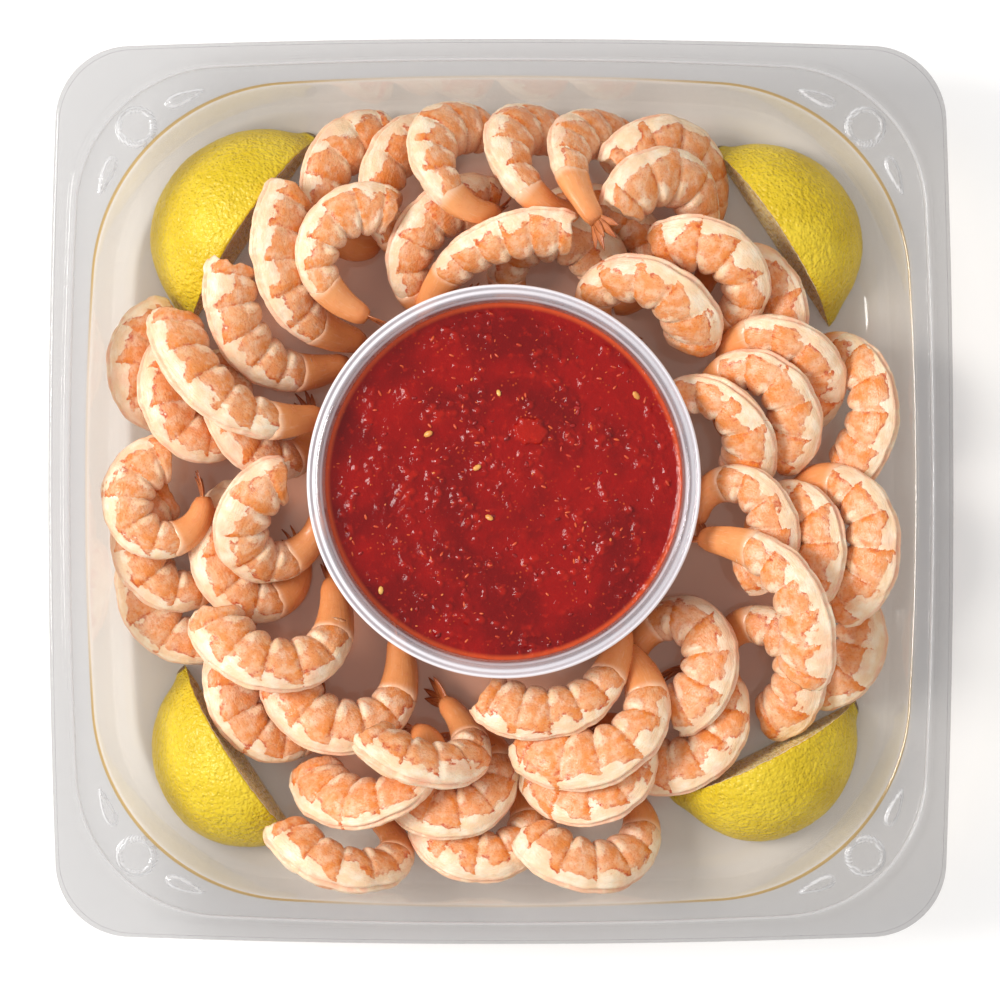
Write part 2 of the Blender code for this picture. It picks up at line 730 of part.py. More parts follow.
def make_shrimp(heap, row, slot):
    number, shape, size, x, y, facing, lean, anticlockwise = row
    points, faces = shrimp_mould(shape)
    points = points * size
    if not anticlockwise:
        points = points * np.array((1.0, -1.0, -1.0))
    spin = np.array(Euler((0.0, 0.0, math.radians(facing))).to_matrix())
    slope = math.radians(lean)
    toward = math.radians(LEANS_TOWARD.get(number, facing))
    upright = np.array(
        (-math.sin(slope) * math.cos(toward), -math.sin(slope) * math.sin(toward), math.cos(slope))
    )
    placed = heap.settle(points @ spin.T, faces, x, y, facing, upright)
    heap.add(placed, faces)
    name = f"shrimp_{number:02d}_{shape}"
    return add_mesh(name, placed, faces, slot)


def main():
    clear_scene()
    tray_slot = material("clear_tray", (0.86, 0.86, 0.86), 0.12)
    cup_slot = material("clear_cup", (0.90, 0.88, 0.90), 0.10)
    sauce_slot = material("cocktail_sauce", (0.42, 0.012, 0.012), 0.30)
    lemon_slot = material("lemon", (0.80, 0.62, 0.03), 0.45)
    shrimp_slot = material("cooked_shrimp", (0.85, 0.50, 0.30), 0.42)
    fixed = [make_tray(tray_slot), make_cup(cup_slot)]
    make_sauce(sauce_slot)
    for wedge in LEMONS:
        fixed.append(make_lemon(*wedge, lemon_slot))
    heap = Heap([mesh_of(obj) for obj in fixed[2:]])
    for obj in fixed[:2]:
        points, faces = mesh_of(obj)
        heap.bodies.append((tree_of(points, faces), points.min(axis=0), points.max(axis=0)))
    for row in HEAP:
        make_shrimp(heap, row, shrimp_slot)


main()
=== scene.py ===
# %% [markdown]
# # A shrimp platter on a clear tray
# Fifty peeled shrimp lie around a cup of red sauce in a square tray, with a lemon wedge in each
# corner. The solid model of the platter is loaded first and never changes: it gives every piece
# its place and size. This script then gives each piece its fine shape and its finish.
# Each step has a short text like this one, then the code that does it.

import math

import bmesh
import bpy
import numpy as np
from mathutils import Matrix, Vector


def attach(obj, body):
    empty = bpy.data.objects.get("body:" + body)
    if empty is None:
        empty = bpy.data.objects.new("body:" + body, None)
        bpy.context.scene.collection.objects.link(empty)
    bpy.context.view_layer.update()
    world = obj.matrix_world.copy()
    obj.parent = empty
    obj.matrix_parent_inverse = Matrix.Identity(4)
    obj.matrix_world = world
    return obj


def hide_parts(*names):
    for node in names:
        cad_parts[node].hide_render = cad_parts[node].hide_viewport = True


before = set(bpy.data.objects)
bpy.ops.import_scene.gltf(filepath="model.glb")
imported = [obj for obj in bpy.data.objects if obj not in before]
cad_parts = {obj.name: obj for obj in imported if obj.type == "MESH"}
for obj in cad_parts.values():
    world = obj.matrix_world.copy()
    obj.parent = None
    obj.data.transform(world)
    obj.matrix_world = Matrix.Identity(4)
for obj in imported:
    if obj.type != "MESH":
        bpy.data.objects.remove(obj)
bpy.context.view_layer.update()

# %% [markdown]
# ## Helpers for shapes
# Most food has no straight line in it, so its mesh is computed: rings of points around a middle
# line, joined by four-sided faces. NumPy does this for thousands of points at once. Another way
# is to sculpt by hand, but then nothing can be changed later by changing one number.
# All sizes below are in millimetres, and `MM` turns them into Blender's metres.

# %% Rings, faces and pieces
MM = 0.001


def ring_faces(rows, around, first=0):
    """The four-sided faces between closed rings of points, one ring after another."""
    row = np.arange(rows - 1)[:, None]
    place = np.arange(around)[None, :]
    low = first + row * around + place
    low_next = first + row * around + (place + 1) % around
    return np.stack([low, low_next, low_next + around, low + around], -1).reshape(-1, 4).tolist()


def tip_faces(rows, around, first_tip):
    """Triangles that close a tube of rings with one more point at each of its ends."""
    last = (rows - 1) * around
    faces = []
    for i in range(around):
        after = (i + 1) % around
        faces.append([first_tip, i, after])
        faces.append([first_tip + 1, last + after, last + i])
    return faces


def make_piece(name, points, faces, materials, slots=None):
    """A smooth-shaded piece from points in millimetres, all its faces turned outward."""
    mesh = bpy.data.meshes.new(name)
    mesh.from_pydata((np.asarray(points, float) * MM).tolist(), [], faces)
    for material in materials:
        mesh.materials.append(material)
    if slots is not None:
        mesh.polygons.foreach_set("material_index", np.asarray(slots, np.int32))
    shape = bmesh.new()
    shape.from_mesh(mesh)
    bmesh.ops.recalc_face_normals(shape, faces=shape.faces)
    shape.to_mesh(mesh)
    shape.free()
    mesh.polygons.foreach_set("use_smooth", np.ones(len(mesh.polygons), bool))
    piece = bpy.data.objects.new(name, mesh)
    bpy.context.scene.collection.objects.link(piece)
    return piece


def paint_points(piece, name, values):
    """Stores one number for each point of a piece, for its material to read."""
    stored = piece.data.attributes.new(name, "FLOAT", "POINT")
    stored.data.foreach_set("value", np.asarray(values, np.float32))


def settle_piece(piece, slot, *nodes):
    """Ties a finished piece to the frame: it rides on the body and stands for its solids."""
    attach(piece, "root")
    if nodes:
        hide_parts(*nodes)
    piece.data.calc_loop_triangles()
    return len(piece.data.loop_triangles)


# %% [markdown]
# Cooked food is uneven at every scale. The same trick serves all of it: random heights on a
# lattice, smoothly joined, then a finer copy added at half the height. The seed makes the
# result the same at every run.

# %% Uneven surfaces
def smooth_rise(low, high, x):
    """0 below low, 1 above high and an easy curve between."""
    share = np.clip((np.asarray(x, float) - low) / (high - low), 0.0, 1.0)
    return share * share * (3.0 - 2.0 * share)


def lattice(points, seed):
    """Smooth random heights from -1 to 1, one lattice cell to each unit of length."""
    cell = np.floor(points).astype(np.int64)
    inside = points - cell
    inside = inside * inside * (3.0 - 2.0 * inside)
    total = np.zeros(len(points))
    for corner in np.ndindex(2, 2, 2):
        x, y, z = (cell + corner).T
        mixed = (x * 73856093) ^ (y * 19349663) ^ (z * 83492791) ^ (seed * 2654435761)
        mixed = (mixed ^ (mixed >> 13)) * 1274126177
        height = (mixed & 0x7FFFFFFF) / 0x3FFFFFFF - 1.0
        near = np.where(corner, inside, 1.0 - inside)
        total += height * near.prod(axis=1)
    return total


def unevenness(points, grain, seed, layers=2):
    """Random relief from -1 to 1 whose bumps are about one grain across."""
    total = np.zeros(len(points))
    strength = 0.0
    for layer in range(layers):
        share = 0.5**layer
        total += share * lattice(points * (2.0**layer / grain), seed + 31 * layer)
        strength += share
    return total / strength


# %% [markdown]
# ## Helpers for finishes
# A material is a small network of nodes. Patterns such as the shrimp's orange patches are easier
# to read as arithmetic, so `Field` wraps a node's output and turns `a * b + c` into Math nodes.

# %% Shader arithmetic
class Field:
    """A number that varies over a surface, used in ordinary arithmetic."""

    def __init__(self, tree, socket):
        self.tree = tree
        self.socket = socket

    def math(self, operation, *others):
        node = self.tree.nodes.new("ShaderNodeMath")
        node.operation = operation
        for slot, value in zip(node.inputs, (self, *others)):
            if isinstance(value, Field):
                self.tree.links.new(value.socket, slot)
            else:
                slot.default_value = value
        return Field(self.tree, node.outputs[0])

    def __add__(self, other):
        return self.math("ADD", other)

    def __sub__(self, other):
        return self.math("SUBTRACT", other)

    def __mul__(self, other):
        return self.math("MULTIPLY", other)

    def rise(self, low, high):
        """0 below low, 1 above high, with an easy curve between. Low may be above high."""
        node = self.tree.nodes.new("ShaderNodeMapRange")
        node.interpolation_type = "SMOOTHSTEP"
        self.tree.links.new(self.socket, node.inputs["Value"])
        node.inputs["From Min"].default_value = min(low, high)
        node.inputs["From Max"].default_value = max(low, high)
        node.inputs["To Min"].default_value = 0.0 if low < high else 1.0
        node.inputs["To Max"].default_value = 1.0 if low < high else 0.0
        return Field(self.tree, node.outputs[0])


def new_finish(name):
    """A material with an empty Principled shader, and its node tree and shader."""
    finish = bpy.data.materials.new(name)
    finish.use_nodes = True
    tree = finish.node_tree
    return finish, tree, tree.nodes["Principled BSDF"]


def set_softness(shader, specular, weight, radius, scale):
    """How strongly the surface reflects, and how far light wanders below it."""
    shader.inputs["Specular IOR Level"].default_value = specular
    shader.inputs["Subsurface Weight"].default_value = weight
    shader.inputs["Subsurface Radius"].default_value = radius
    shader.inputs["Subsurface Scale"].default_value = scale


def stored_field(tree, name):
    """A number stored on the points of the piece."""
    node = tree.nodes.new("ShaderNodeAttribute")
    node.attribute_name = name
    return Field(tree, node.outputs["Fac"])


def vector_field(tree, x, y, z):
    """Three fields as one vector, to place a pattern by."""
    node = tree.nodes.new("ShaderNodeCombineXYZ")
    for slot, value in zip(node.inputs, (x, y, z)):
        if isinstance(value, Field):
            tree.links.new(value.socket, slot)
        else:
            slot.default_value = value
    return node.outputs[0]


def place_field(tree):
    """The object's own coordinates, in metres."""
    return tree.nodes.new("ShaderNodeTexCoord").outputs["Object"]


def noise_field(tree, where, scale, detail=2.0, roughness=0.5):
    """Soft random values around 0.5."""
    node = tree.nodes.new("ShaderNodeTexNoise")
    tree.links.new(where, node.inputs["Vector"])
    node.inputs["Scale"].default_value = scale
    node.inputs["Detail"].default_value = detail
    node.inputs["Roughness"].default_value = roughness
    return Field(tree, node.outputs["Fac"])


def cell_field(tree, where, scale, feature="F1"):
    """The distance to the nearest of many scattered points, for pores, grains and dots."""
    node = tree.nodes.new("ShaderNodeTexVoronoi")
    node.feature = feature
    tree.links.new(where, node.inputs["Vector"])
    node.inputs["Scale"].default_value = scale
    return Field(tree, node.outputs["Distance"])


def colour_mix(tree, share, first, second):
    """The first colour where share is 0 and the second where it is 1."""
    node = tree.nodes.new("ShaderNodeMix")
    node.data_type = "RGBA"
    tree.links.new(share.socket, node.inputs["Factor"])
    for slot, colour in (("A", first), ("B", second)):
        target = [s for s in node.inputs if s.name == slot and s.type == "RGBA"][0]
        if isinstance(colour, tuple):
            target.default_value = (*colour, 1.0)
        else:
            tree.links.new(colour, target)
    return [s for s in node.outputs if s.type == "RGBA"][0]


def bump_from(tree, height, distance, strength=1.0, below=None):
    """A bump whose height field is in units of the given distance, in metres."""
    node = tree.nodes.new("ShaderNodeBump")
    node.inputs["Distance"].default_value = distance
    node.inputs["Strength"].default_value = strength
    tree.links.new(height.socket, node.inputs["Height"])
    if below is not None:
        tree.links.new(below, node.inputs["Normal"])
    return node.outputs[0]


def paint(red, green, blue):
    """A colour from its 0 to 255 screen values, as the linear values that shaders use."""
    shares = (red / 255, green / 255, blue / 255)
    return tuple(((c + 0.055) / 1.055) ** 2.4 if c > 0.04 else c / 12.92 for c in shares)


# %% [markdown]
# ## The clear tray
# The tray is one sheet of clear plastic, drawn over a mould: a flat floor, steep walls, a ledge,
# a raised rib and a flat flange with a turned-down lip. Its outline is a square with bowed sides
# and round corners. The section is written once, from the floor's middle out over the rim and
# back underneath, and each station of it is an outline of its own size. That keeps both faces
# of the sheet and its thickness in one closed mesh.

# %% Tray sizes
PLASTIC = 1.0
FLANGE_HALF, FLANGE_TOP, FLANGE_CORNER, FLANGE_BOW = 152.9, 44.0, 25.5, 2.4
LIP_DEPTH = 3.0
RIB_OUTER, RIB_INNER, RIB_TOP, RIB_CORNER = 148.2, 145.2, 45.6, 49.5
LEDGE_TOP = 42.4
WELL_HALF, WELL_CORNER, WELL_BOW, WELL_EDGE = 139.4, 69.0, 2.2, 1.6
WALL_FOOT, FOOT_ROUND, FLOOR_TOP = 135.6, 9.5, 1.0
SIDE_POINTS, CORNER_POINTS = 14, 58


def bowed_square(half, corner, bow, z):
    """One outline of the tray, anticlockwise from the middle of its right side."""
    tilt = 0.0
    for _ in range(6):
        centre = half - bow - corner * math.cos(tilt)
        side = centre + corner * math.sin(tilt)
        tilt = math.atan2(2.0 * bow, side)
    y = side * np.arange(SIDE_POINTS) / SIDE_POINTS
    straight = np.c_[half - bow * (y / side) ** 2, y]
    angle = tilt + (math.pi / 4 - tilt) * np.arange(CORNER_POINTS + 1) / CORNER_POINTS
    arc = centre + corner * np.c_[np.cos(angle), np.sin(angle)]
    eighth = np.vstack([straight, arc])
    quarter = np.vstack([eighth, eighth[-2:0:-1, ::-1]])
    turns = [quarter, quarter[:, ::-1] * (-1, 1), -quarter, quarter[:, ::-1] * (1, -1)]
    outline = np.vstack(turns)
    return np.c_[outline, np.full(len(outline), z)]


# %% [markdown]
# Each corner of the ledge has a round button and two drop-shaped ribs, which stiffen the sheet
# and hold the lid. They could be separate meshes joined by a Boolean, but on a thin sheet it is
# simpler to lift the ledge's own points, on both of its faces, by one height rule.

# %% Buttons and drops in the corners
BUTTON_REACH, BUTTON_RADIUS, BUTTON_RISE = 123.2, 6.7, 1.3
DROP_ALONG, DROP_ACROSS, DROP_LENGTH, DROP_WIDTH, DROP_RISE = 107.0, 133.2, 15.0, 6.4, 1.1


def drop_height(x, y, at_x, at_y, degrees):
    """The rise of one drop-shaped rib, round at its far end."""
    turn = math.radians(degrees)
    along = ((x - at_x) * math.cos(turn) + (y - at_y) * math.sin(turn)) / (DROP_LENGTH / 2)
    across = (-(x - at_x) * math.sin(turn) + (y - at_y) * math.cos(turn)) / (DROP_WIDTH / 2)
    narrow = np.clip(0.62 + 0.38 * along, 0.2, 1.0)
    reach = np.hypot(along, across / narrow)
    return DROP_RISE * smooth_rise(1.0, 0.62, reach)


def corner_height(points):
    """How far the ledge is raised at each point, the same in all four corners."""
    angle = np.arctan2(points[:, 1], points[:, 0])
    turn = np.floor(angle / (math.pi / 2)) * (math.pi / 2)
    x = points[:, 0] * np.cos(turn) + points[:, 1] * np.sin(turn)
    y = -points[:, 0] * np.sin(turn) + points[:, 1] * np.cos(turn)
    reach = np.hypot(x - BUTTON_REACH, y - BUTTON_REACH)
    button = BUTTON_RISE * smooth_rise(BUTTON_RADIUS + 0.2, BUTTON_RADIUS - 0.7, reach)
    button -= 0.45 * smooth_rise(BUTTON_RADIUS - 1.2, BUTTON_RADIUS - 1.8, reach)
    drops = drop_height(x, y, DROP_ALONG, DROP_ACROSS, -22.0)
    drops += drop_height(x, y, DROP_ACROSS, DROP_ALONG, 112.0)
    return button + drops


# %% The tray's section as a list of outlines
def stations_between(first, last, count):
    """Evenly spaced outlines after the first one and up to the last."""
    share = np.arange(1, count + 1)[:, None] / count
    return list(np.array(first) * (1 - share) + np.array(last) * share)


def tray_stations():
    """(half width, corner radius, bow, height) of each outline, and where the ledge and the
    rounded edge of the well lie in the list."""
    low = FLOOR_TOP + FOOT_ROUND
    section = [(12.0, 6.0, 0.2, FLOOR_TOP)]
    section += stations_between(section[-1], (126.0, 50.4, WELL_BOW, FLOOR_TOP), 6)
    for angle in np.radians(np.linspace(84, 0, 9)):
        reach = FOOT_ROUND * (1 - math.cos(angle))
        z = low - FOOT_ROUND * math.sin(angle)
        corner = WELL_CORNER - 9.0 * (1 - z / LEDGE_TOP) - reach
        section.append((WALL_FOOT - reach, corner, WELL_BOW, z))
    section += stations_between(section[-1], (WELL_HALF, WELL_CORNER, WELL_BOW, LEDGE_TOP - WELL_EDGE), 6)
    for angle in np.radians(np.linspace(15, 90, 6)):
        half = WELL_HALF + WELL_EDGE * (1 - math.cos(angle))
        z = LEDGE_TOP - WELL_EDGE * (1 - math.sin(angle))
        section.append((half, WELL_CORNER, WELL_BOW, z))
    edge_last = len(section) - 2
    edge_first = edge_last - 2
    ledge_first = len(section)
    section += stations_between(section[-1], (RIB_INNER - 0.3, RIB_CORNER, FLANGE_BOW, LEDGE_TOP), 28)
    ledge_last = len(section) - 1
    for inward, z in ((0.0, 0.15), (0.1, 0.6), (0.15, 2.4), (0.3, 2.85), (0.65, 3.15), (1.1, 3.2)):
        section.append((RIB_INNER + inward, RIB_CORNER, FLANGE_BOW, LEDGE_TOP + z))
    for inward, z in ((1.1, 1.6), (0.65, 1.55), (0.3, 1.3), (0.15, 0.9), (0.1, 0.35), (-0.2, 0.0)):
        section.append((RIB_OUTER - inward, RIB_CORNER, FLANGE_BOW, FLANGE_TOP + z))
    section.append((RIB_OUTER + 0.5, RIB_CORNER, FLANGE_BOW, FLANGE_TOP))
    rim = (FLANGE_HALF - 1.2, FLANGE_CORNER, FLANGE_BOW, FLANGE_TOP)
    section += stations_between(section[-1], rim, 3)
    for inward, z in ((0.6, 0.1), (0.2, 0.45), (0.0, 1.1), (0.0, LIP_DEPTH), (PLASTIC, LIP_DEPTH)):
        section.append((FLANGE_HALF - inward, FLANGE_CORNER, FLANGE_BOW, FLANGE_TOP - z))
    section.append((FLANGE_HALF - PLASTIC - 0.1, FLANGE_CORNER, FLANGE_BOW, FLANGE_TOP - 1.6))
    section.append((FLANGE_HALF - PLASTIC - 0.6, FLANGE_CORNER, FLANGE_BOW, FLANGE_TOP - PLASTIC))
    section.append((RIB_OUTER - 0.8, RIB_CORNER, FLANGE_BOW, FLANGE_TOP - PLASTIC))
    section.append((RIB_OUTER - 1.0, RIB_CORNER, FLANGE_BOW, RIB_TOP - PLASTIC))
    section.append((RIB_INNER + 1.0, RIB_CORNER, FLANGE_BOW, RIB_TOP - PLASTIC))
    section.append((RIB_INNER + 0.7, RIB_CORNER, FLANGE_BOW, LEDGE_TOP - PLASTIC))
    under_first = len(section)
    end = (WELL_HALF + WELL_EDGE + 0.3, WELL_CORNER, WELL_BOW, LEDGE_TOP - PLASTIC)
    section += stations_between(section[-1], end, 20)
    under_last = len(section) - 1
    section.append((WELL_HALF + PLASTIC, WELL_CORNER, WELL_BOW, LEDGE_TOP - 2.4))
    section += stations_between(section[-1], (WALL_FOOT + PLASTIC, 62.5, WELL_BOW, low), 4)
    radius = FOOT_ROUND + PLASTIC
    for angle in np.radians(np.linspace(10, 90, 8)):
        reach = radius * (1 - math.cos(angle))
        section.append((WALL_FOOT + PLASTIC - reach, 62.3 - reach, WELL_BOW, low - radius * math.sin(angle)))
    section += stations_between(section[-1], (12.0, 6.0, 0.2, 0.0), 6)
    return section, (edge_first, edge_last), ((ledge_first, ledge_last), (under_first, under_last))


section, edge_band, ledge_bands = tray_stations()
print("the tray's section has", len(section), "outlines")

# %% [markdown]
# Clear food-tray plastic is thin, so it bends light too little to notice. A full glass shader
# would need many light paths and give noise. A mix does the same job: most light passes
# straight through a slightly grey Transparent shader, and a Glossy shader adds the reflections,
# more of them at a glancing angle. Layer Weight's Facing gives that angle the same way on both
# faces of the sheet, where a Fresnel node would act as if light were leaving glass on the inner
# one and turn it into a black mirror. A trace of white diffuse is the haze of used plastic; more
# of the same white diffuse, stored on the points, is painted highlight on folds, ribs and rims.

# %% Clear plastic
def clear_plastic(name, tint, haze, haze_colour, straight_gloss=0.04, painted_tint=None, change=(0, 1)):
    """A thin clear plastic: tint is what passes each face, haze the share of milky scatter, to
    which the piece's own painted highlight number is added, white haze painted on tight folds,
    ribs and rims as painted highlight. A painted tint takes over between the two distances of
    `change` from the tray's middle: painted shade and reflection of the food under the heap,
    and a painted golden line along the well's edge."""
    finish = bpy.data.materials.new(name)
    finish.use_nodes = True
    tree = finish.node_tree
    tree.nodes.remove(tree.nodes["Principled BSDF"])
    place = place_field(tree)
    flow = noise_field(tree, place, 90.0, 2.0)
    ripple = bump_from(tree, flow, 0.0003, 0.35)
    through = tree.nodes.new("ShaderNodeBsdfTransparent")
    through.inputs["Color"].default_value = (*tint, 1.0)
    haze_and_painted_highlight = tree.nodes.new("ShaderNodeBsdfDiffuse")
    haze_and_painted_highlight.inputs["Color"].default_value = (*haze_colour, 1.0)
    if painted_tint is not None:
        split = tree.nodes.new("ShaderNodeSeparateXYZ")
        tree.links.new(place, split.inputs[0])
        x, y = Field(tree, split.outputs["X"]), Field(tree, split.outputs["Y"])
        reach = (x * x + y * y).math("SQRT").rise(*change)
        tree.links.new(colour_mix(tree, reach, tint, painted_tint), through.inputs["Color"])
    body = tree.nodes.new("ShaderNodeMixShader")
    # Painted highlight: the stored number adds white haze where the piece paints its highlights.
    haze_and_highlight_share = (stored_field(tree, "haze_and_painted_highlight") + haze).math("MINIMUM", 1.0)
    tree.links.new(haze_and_highlight_share.socket, body.inputs["Fac"])
    tree.links.new(through.outputs[0], body.inputs[1])
    tree.links.new(haze_and_painted_highlight.outputs[0], body.inputs[2])
    gloss = tree.nodes.new("ShaderNodeBsdfGlossy")
    gloss.inputs["Color"].default_value = (1.0, 1.0, 1.0, 1.0)
    scratches = noise_field(tree, place, 260.0, 3.0)
    tree.links.new((scratches * 0.08 + 0.04).socket, gloss.inputs["Roughness"])
    tree.links.new(ripple, gloss.inputs["Normal"])
    facing = tree.nodes.new("ShaderNodeLayerWeight")
    facing.inputs["Blend"].default_value = 0.5
    tree.links.new(ripple, facing.inputs["Normal"])
    glance = Field(tree, facing.outputs["Facing"])
    share = glance.math("POWER", 5.0) * 0.55 + straight_gloss
    whole = tree.nodes.new("ShaderNodeMixShader")
    tree.links.new(share.socket, whole.inputs["Fac"])
    tree.links.new(body.outputs[0], whole.inputs[1])
    tree.links.new(gloss.outputs[0], whole.inputs[2])
    tree.links.new(whole.outputs[0], tree.nodes["Material Output"].inputs["Surface"])
    return finish


tray_plastic = clear_plastic("tray_plastic", (0.745, 0.74, 0.742), 0.05, (0.84, 0.84, 0.85), 0.02)
# Painted shade and painted reflection: within 108 mm of the middle, fading out by 128 mm, the well's plastic
# takes a warm brown tint for the shade and shrimp colour in the gaps of the heap.
well_plastic_with_painted_shade = clear_plastic(
    "tray_well_plastic", (0.865, 0.84, 0.81), 0.04, (0.82, 0.8, 0.78), 0.025,
    (0.84, 0.67, 0.58), (0.128, 0.108),
)
# Painted refraction line: the well's rounded edge takes a golden tint and golden haze, deeper towards the
# corners, for the food's colour bent through that fold.
edge_plastic_with_painted_line = clear_plastic(
    "tray_edge_plastic", (0.86, 0.78, 0.68), 0.02, (0.6, 0.45, 0.22), 0.04, (0.7, 0.5, 0.22), (0.143, 0.158)
)

# %% Build the tray
rings = [bowed_square(*station) for station in section]
for first, last in ledge_bands:
    for ring in rings[first : last + 1]:
        ring[:, 2] += corner_height(ring)
around = len(rings[0])
tray_points = np.vstack(rings)
tray_faces = ring_faces(len(rings), around)
tray_slots = []
for row in range(len(rings) - 1):
    if edge_band[0] <= row < edge_band[1]:
        kind = 1
    elif edge_band[1] <= row <= ledge_bands[1][1]:
        kind = 0
    else:
        kind = 2
    tray_slots += [kind] * around
tray_faces.append(list(range(around)))
tray_faces.append(list(range((len(rings) - 1) * around, len(rings) * around)))
tray_finishes = [tray_plastic, edge_plastic_with_painted_line, well_plastic_with_painted_shade]
tray = make_piece("clear_tray", tray_points, tray_faces, tray_finishes, tray_slots + [2, 2])
# Painted highlight: white haze on the slopes of the buttons and drops, standing in for the bright lines that
# their curved plastic reflects.
haze_and_painted_highlight = np.zeros((len(rings), around))
for first, last in ledge_bands:
    for row in range(first, last + 1):
        x_step, y_step = (
            corner_height(rings[row] + step) - corner_height(rings[row] - step)
            for step in np.eye(3)[:2] * 0.25
        )
        haze_and_painted_highlight[row] = 0.5 * smooth_rise(0.12, 0.6, np.hypot(x_step, y_step))
# Painted highlight along the rib's bead.
haze_and_painted_highlight[ledge_bands[0][1] + 3 : ledge_bands[0][1] + 6] = 0.2
paint_points(tray, "haze_and_painted_highlight", haze_and_painted_highlight.ravel())
print("the tray has", settle_piece(tray, "clear_tray", "tray"), "triangles")

# %% [markdown]
# ## The sauce cup
# A deli cup is thermoformed or moulded around an axis, so a lathe is the natural way: a profile
# of radius and height, turned. The rim has a rolled edge and two grooves for its lid, which
# read as bright and dark rings from above. The profile's few points are joined by a smooth
# curve, so that the light runs round the rim without breaks.

# %% Turn the cup
CUP_X, CUP_Y = 1.0, 3.4
CUP_PROFILE = (
    (54.1, 1.35), (55.6, 2.85), (56.2, 7.0), (61.3, 38.0), (62.0, 42.0), (64.4, 42.4), (65.4, 42.2),
    (66.4, 43.0), (66.4, 45.4), (65.6, 46.2), (64.6, 45.6), (63.5, 46.4), (62.4, 46.6), (61.6, 45.2),
    (61.0, 42.6), (60.3, 38.0), (55.3, 7.5), (54.6, 3.55), (53.2, 2.35),
)
CUP_AROUND = 240

# How much white haze is painted on the rim at each radius: painted highlights for the bright rings that its
# rolled edge and grooves reflect
CUP_RIM_PAINTED_HIGHLIGHT = (
    (60.4, 0.05), (61.2, 0.1), (61.5, 0.55), (61.9, 0.5), (62.2, 0.1), (63.3, 0.15), (63.7, 0.8),
    (64.3, 0.85), (64.7, 0.3), (65.3, 0.3), (65.7, 0.9), (66.4, 0.95),
)


def smooth_path(points, steps):
    """A curve through all the points, with the given number of steps between each two."""
    points = np.array(points, float)
    ends = np.vstack([2 * points[0] - points[1], points, 2 * points[-1] - points[-2]])
    path = []
    for a, b, c, d in zip(ends, ends[1:], ends[2:], ends[3:]):
        for t in np.arange(steps) / steps:
            straight = (c - a) * t + (2 * a - 5 * b + 4 * c - d) * t**2
            path.append(b + 0.5 * (straight + (3 * b - a - 3 * c + d) * t**3))
    path.append(points[-1])
    return np.array(path)


def turned(profile, around, x, y):
    """Rings of points from a (radius, height) profile turned about an upright axis at x, y."""
    angle = 2 * math.pi * np.arange(around) / around
    rings = [
        np.c_[x + r * np.cos(angle), y + r * np.sin(angle), np.full(around, z)] for r, z in profile
    ]
    return np.vstack(rings)


cup_path = smooth_path(CUP_PROFILE, 4)
floor_out = [(r, 1.35) for r in (18.0, 36.0)]
floor_in = [(r, 2.35) for r in (36.0, 18.0)]
cup_path = np.vstack([floor_out, cup_path, floor_in])
cup_points = turned(cup_path, CUP_AROUND, CUP_X, CUP_Y)
cup_faces = ring_faces(len(cup_path), CUP_AROUND)
cup_faces.append(list(range(CUP_AROUND)))
cup_faces.append(list(range((len(cup_path) - 1) * CUP_AROUND, len(cup_path) * CUP_AROUND)))
cup_plastic = clear_plastic("cup_plastic", (0.88, 0.85, 0.89), 0.04, (0.9, 0.88, 0.92), 0.05)
cup = make_piece("sauce_cup", cup_points, cup_faces, [cup_plastic])
# Painted highlight: white haze on the rim above 41 mm, taken by radius from the table.
rim_radius, rim_highlight = zip(*CUP_RIM_PAINTED_HIGHLIGHT)
cup_rim_highlight = np.interp(cup_path[:, 0], rim_radius, rim_highlight) * (cup_path[:, 1] > 41.0)
paint_points(cup, "haze_and_painted_highlight", np.repeat(cup_rim_highlight, CUP_AROUND))
print("the cup has", settle_piece(cup, "clear_cup", "cup"), "triangles")

# %% [markdown]
# ## The shrimp: where each one lies
# The solid model holds each shrimp as a plain faceted body. All of them come from one mould, bent
# to one of six shapes, so the fine shrimp can be modelled once in the mould's own space and then
# laid exactly where its plain body lies. The lie is found by comparing the two sets of points:
# their main axes give the turn, up to a sign, and the best match picks the sign. Typing fifty
# positions by hand would also work, but they would go stale at the first change of the heap.

# %% The mould's middle line and sections
BODY_LENGTH, SHELL_LENGTH, FAN_LENGTH = 54.0, 17.0, 11.0

# Place along, half depth and half width, from the cut neck to the tip of the tail
SECTIONS = np.array([
    (0.0, 7.9, 4.8), (4.5, 9.9, 6.0), (14.0, 10.3, 6.2), (24.0, 9.9, 6.0), (34.0, 9.1, 5.6),
    (44.0, 7.9, 5.1), (54.0, 6.3, 4.4), (71.0, 3.4, 2.8), (75.0, 1.8, 3.3), (82.0, 0.9, 3.0),
])

# How far body, tail shell and fan turn in each shape, in degrees
SHAPES = {
    "ring": (205.0, 62.0, 25.0),
    "curl": (185.0, 70.0, 35.0),
    "arch": (150.0, 68.0, 35.0),
    "hook": (160.0, 22.0, 0.0),
    "open": (110.0, 12.0, -5.0),
    "long": (68.0, 6.0, -5.0),
}


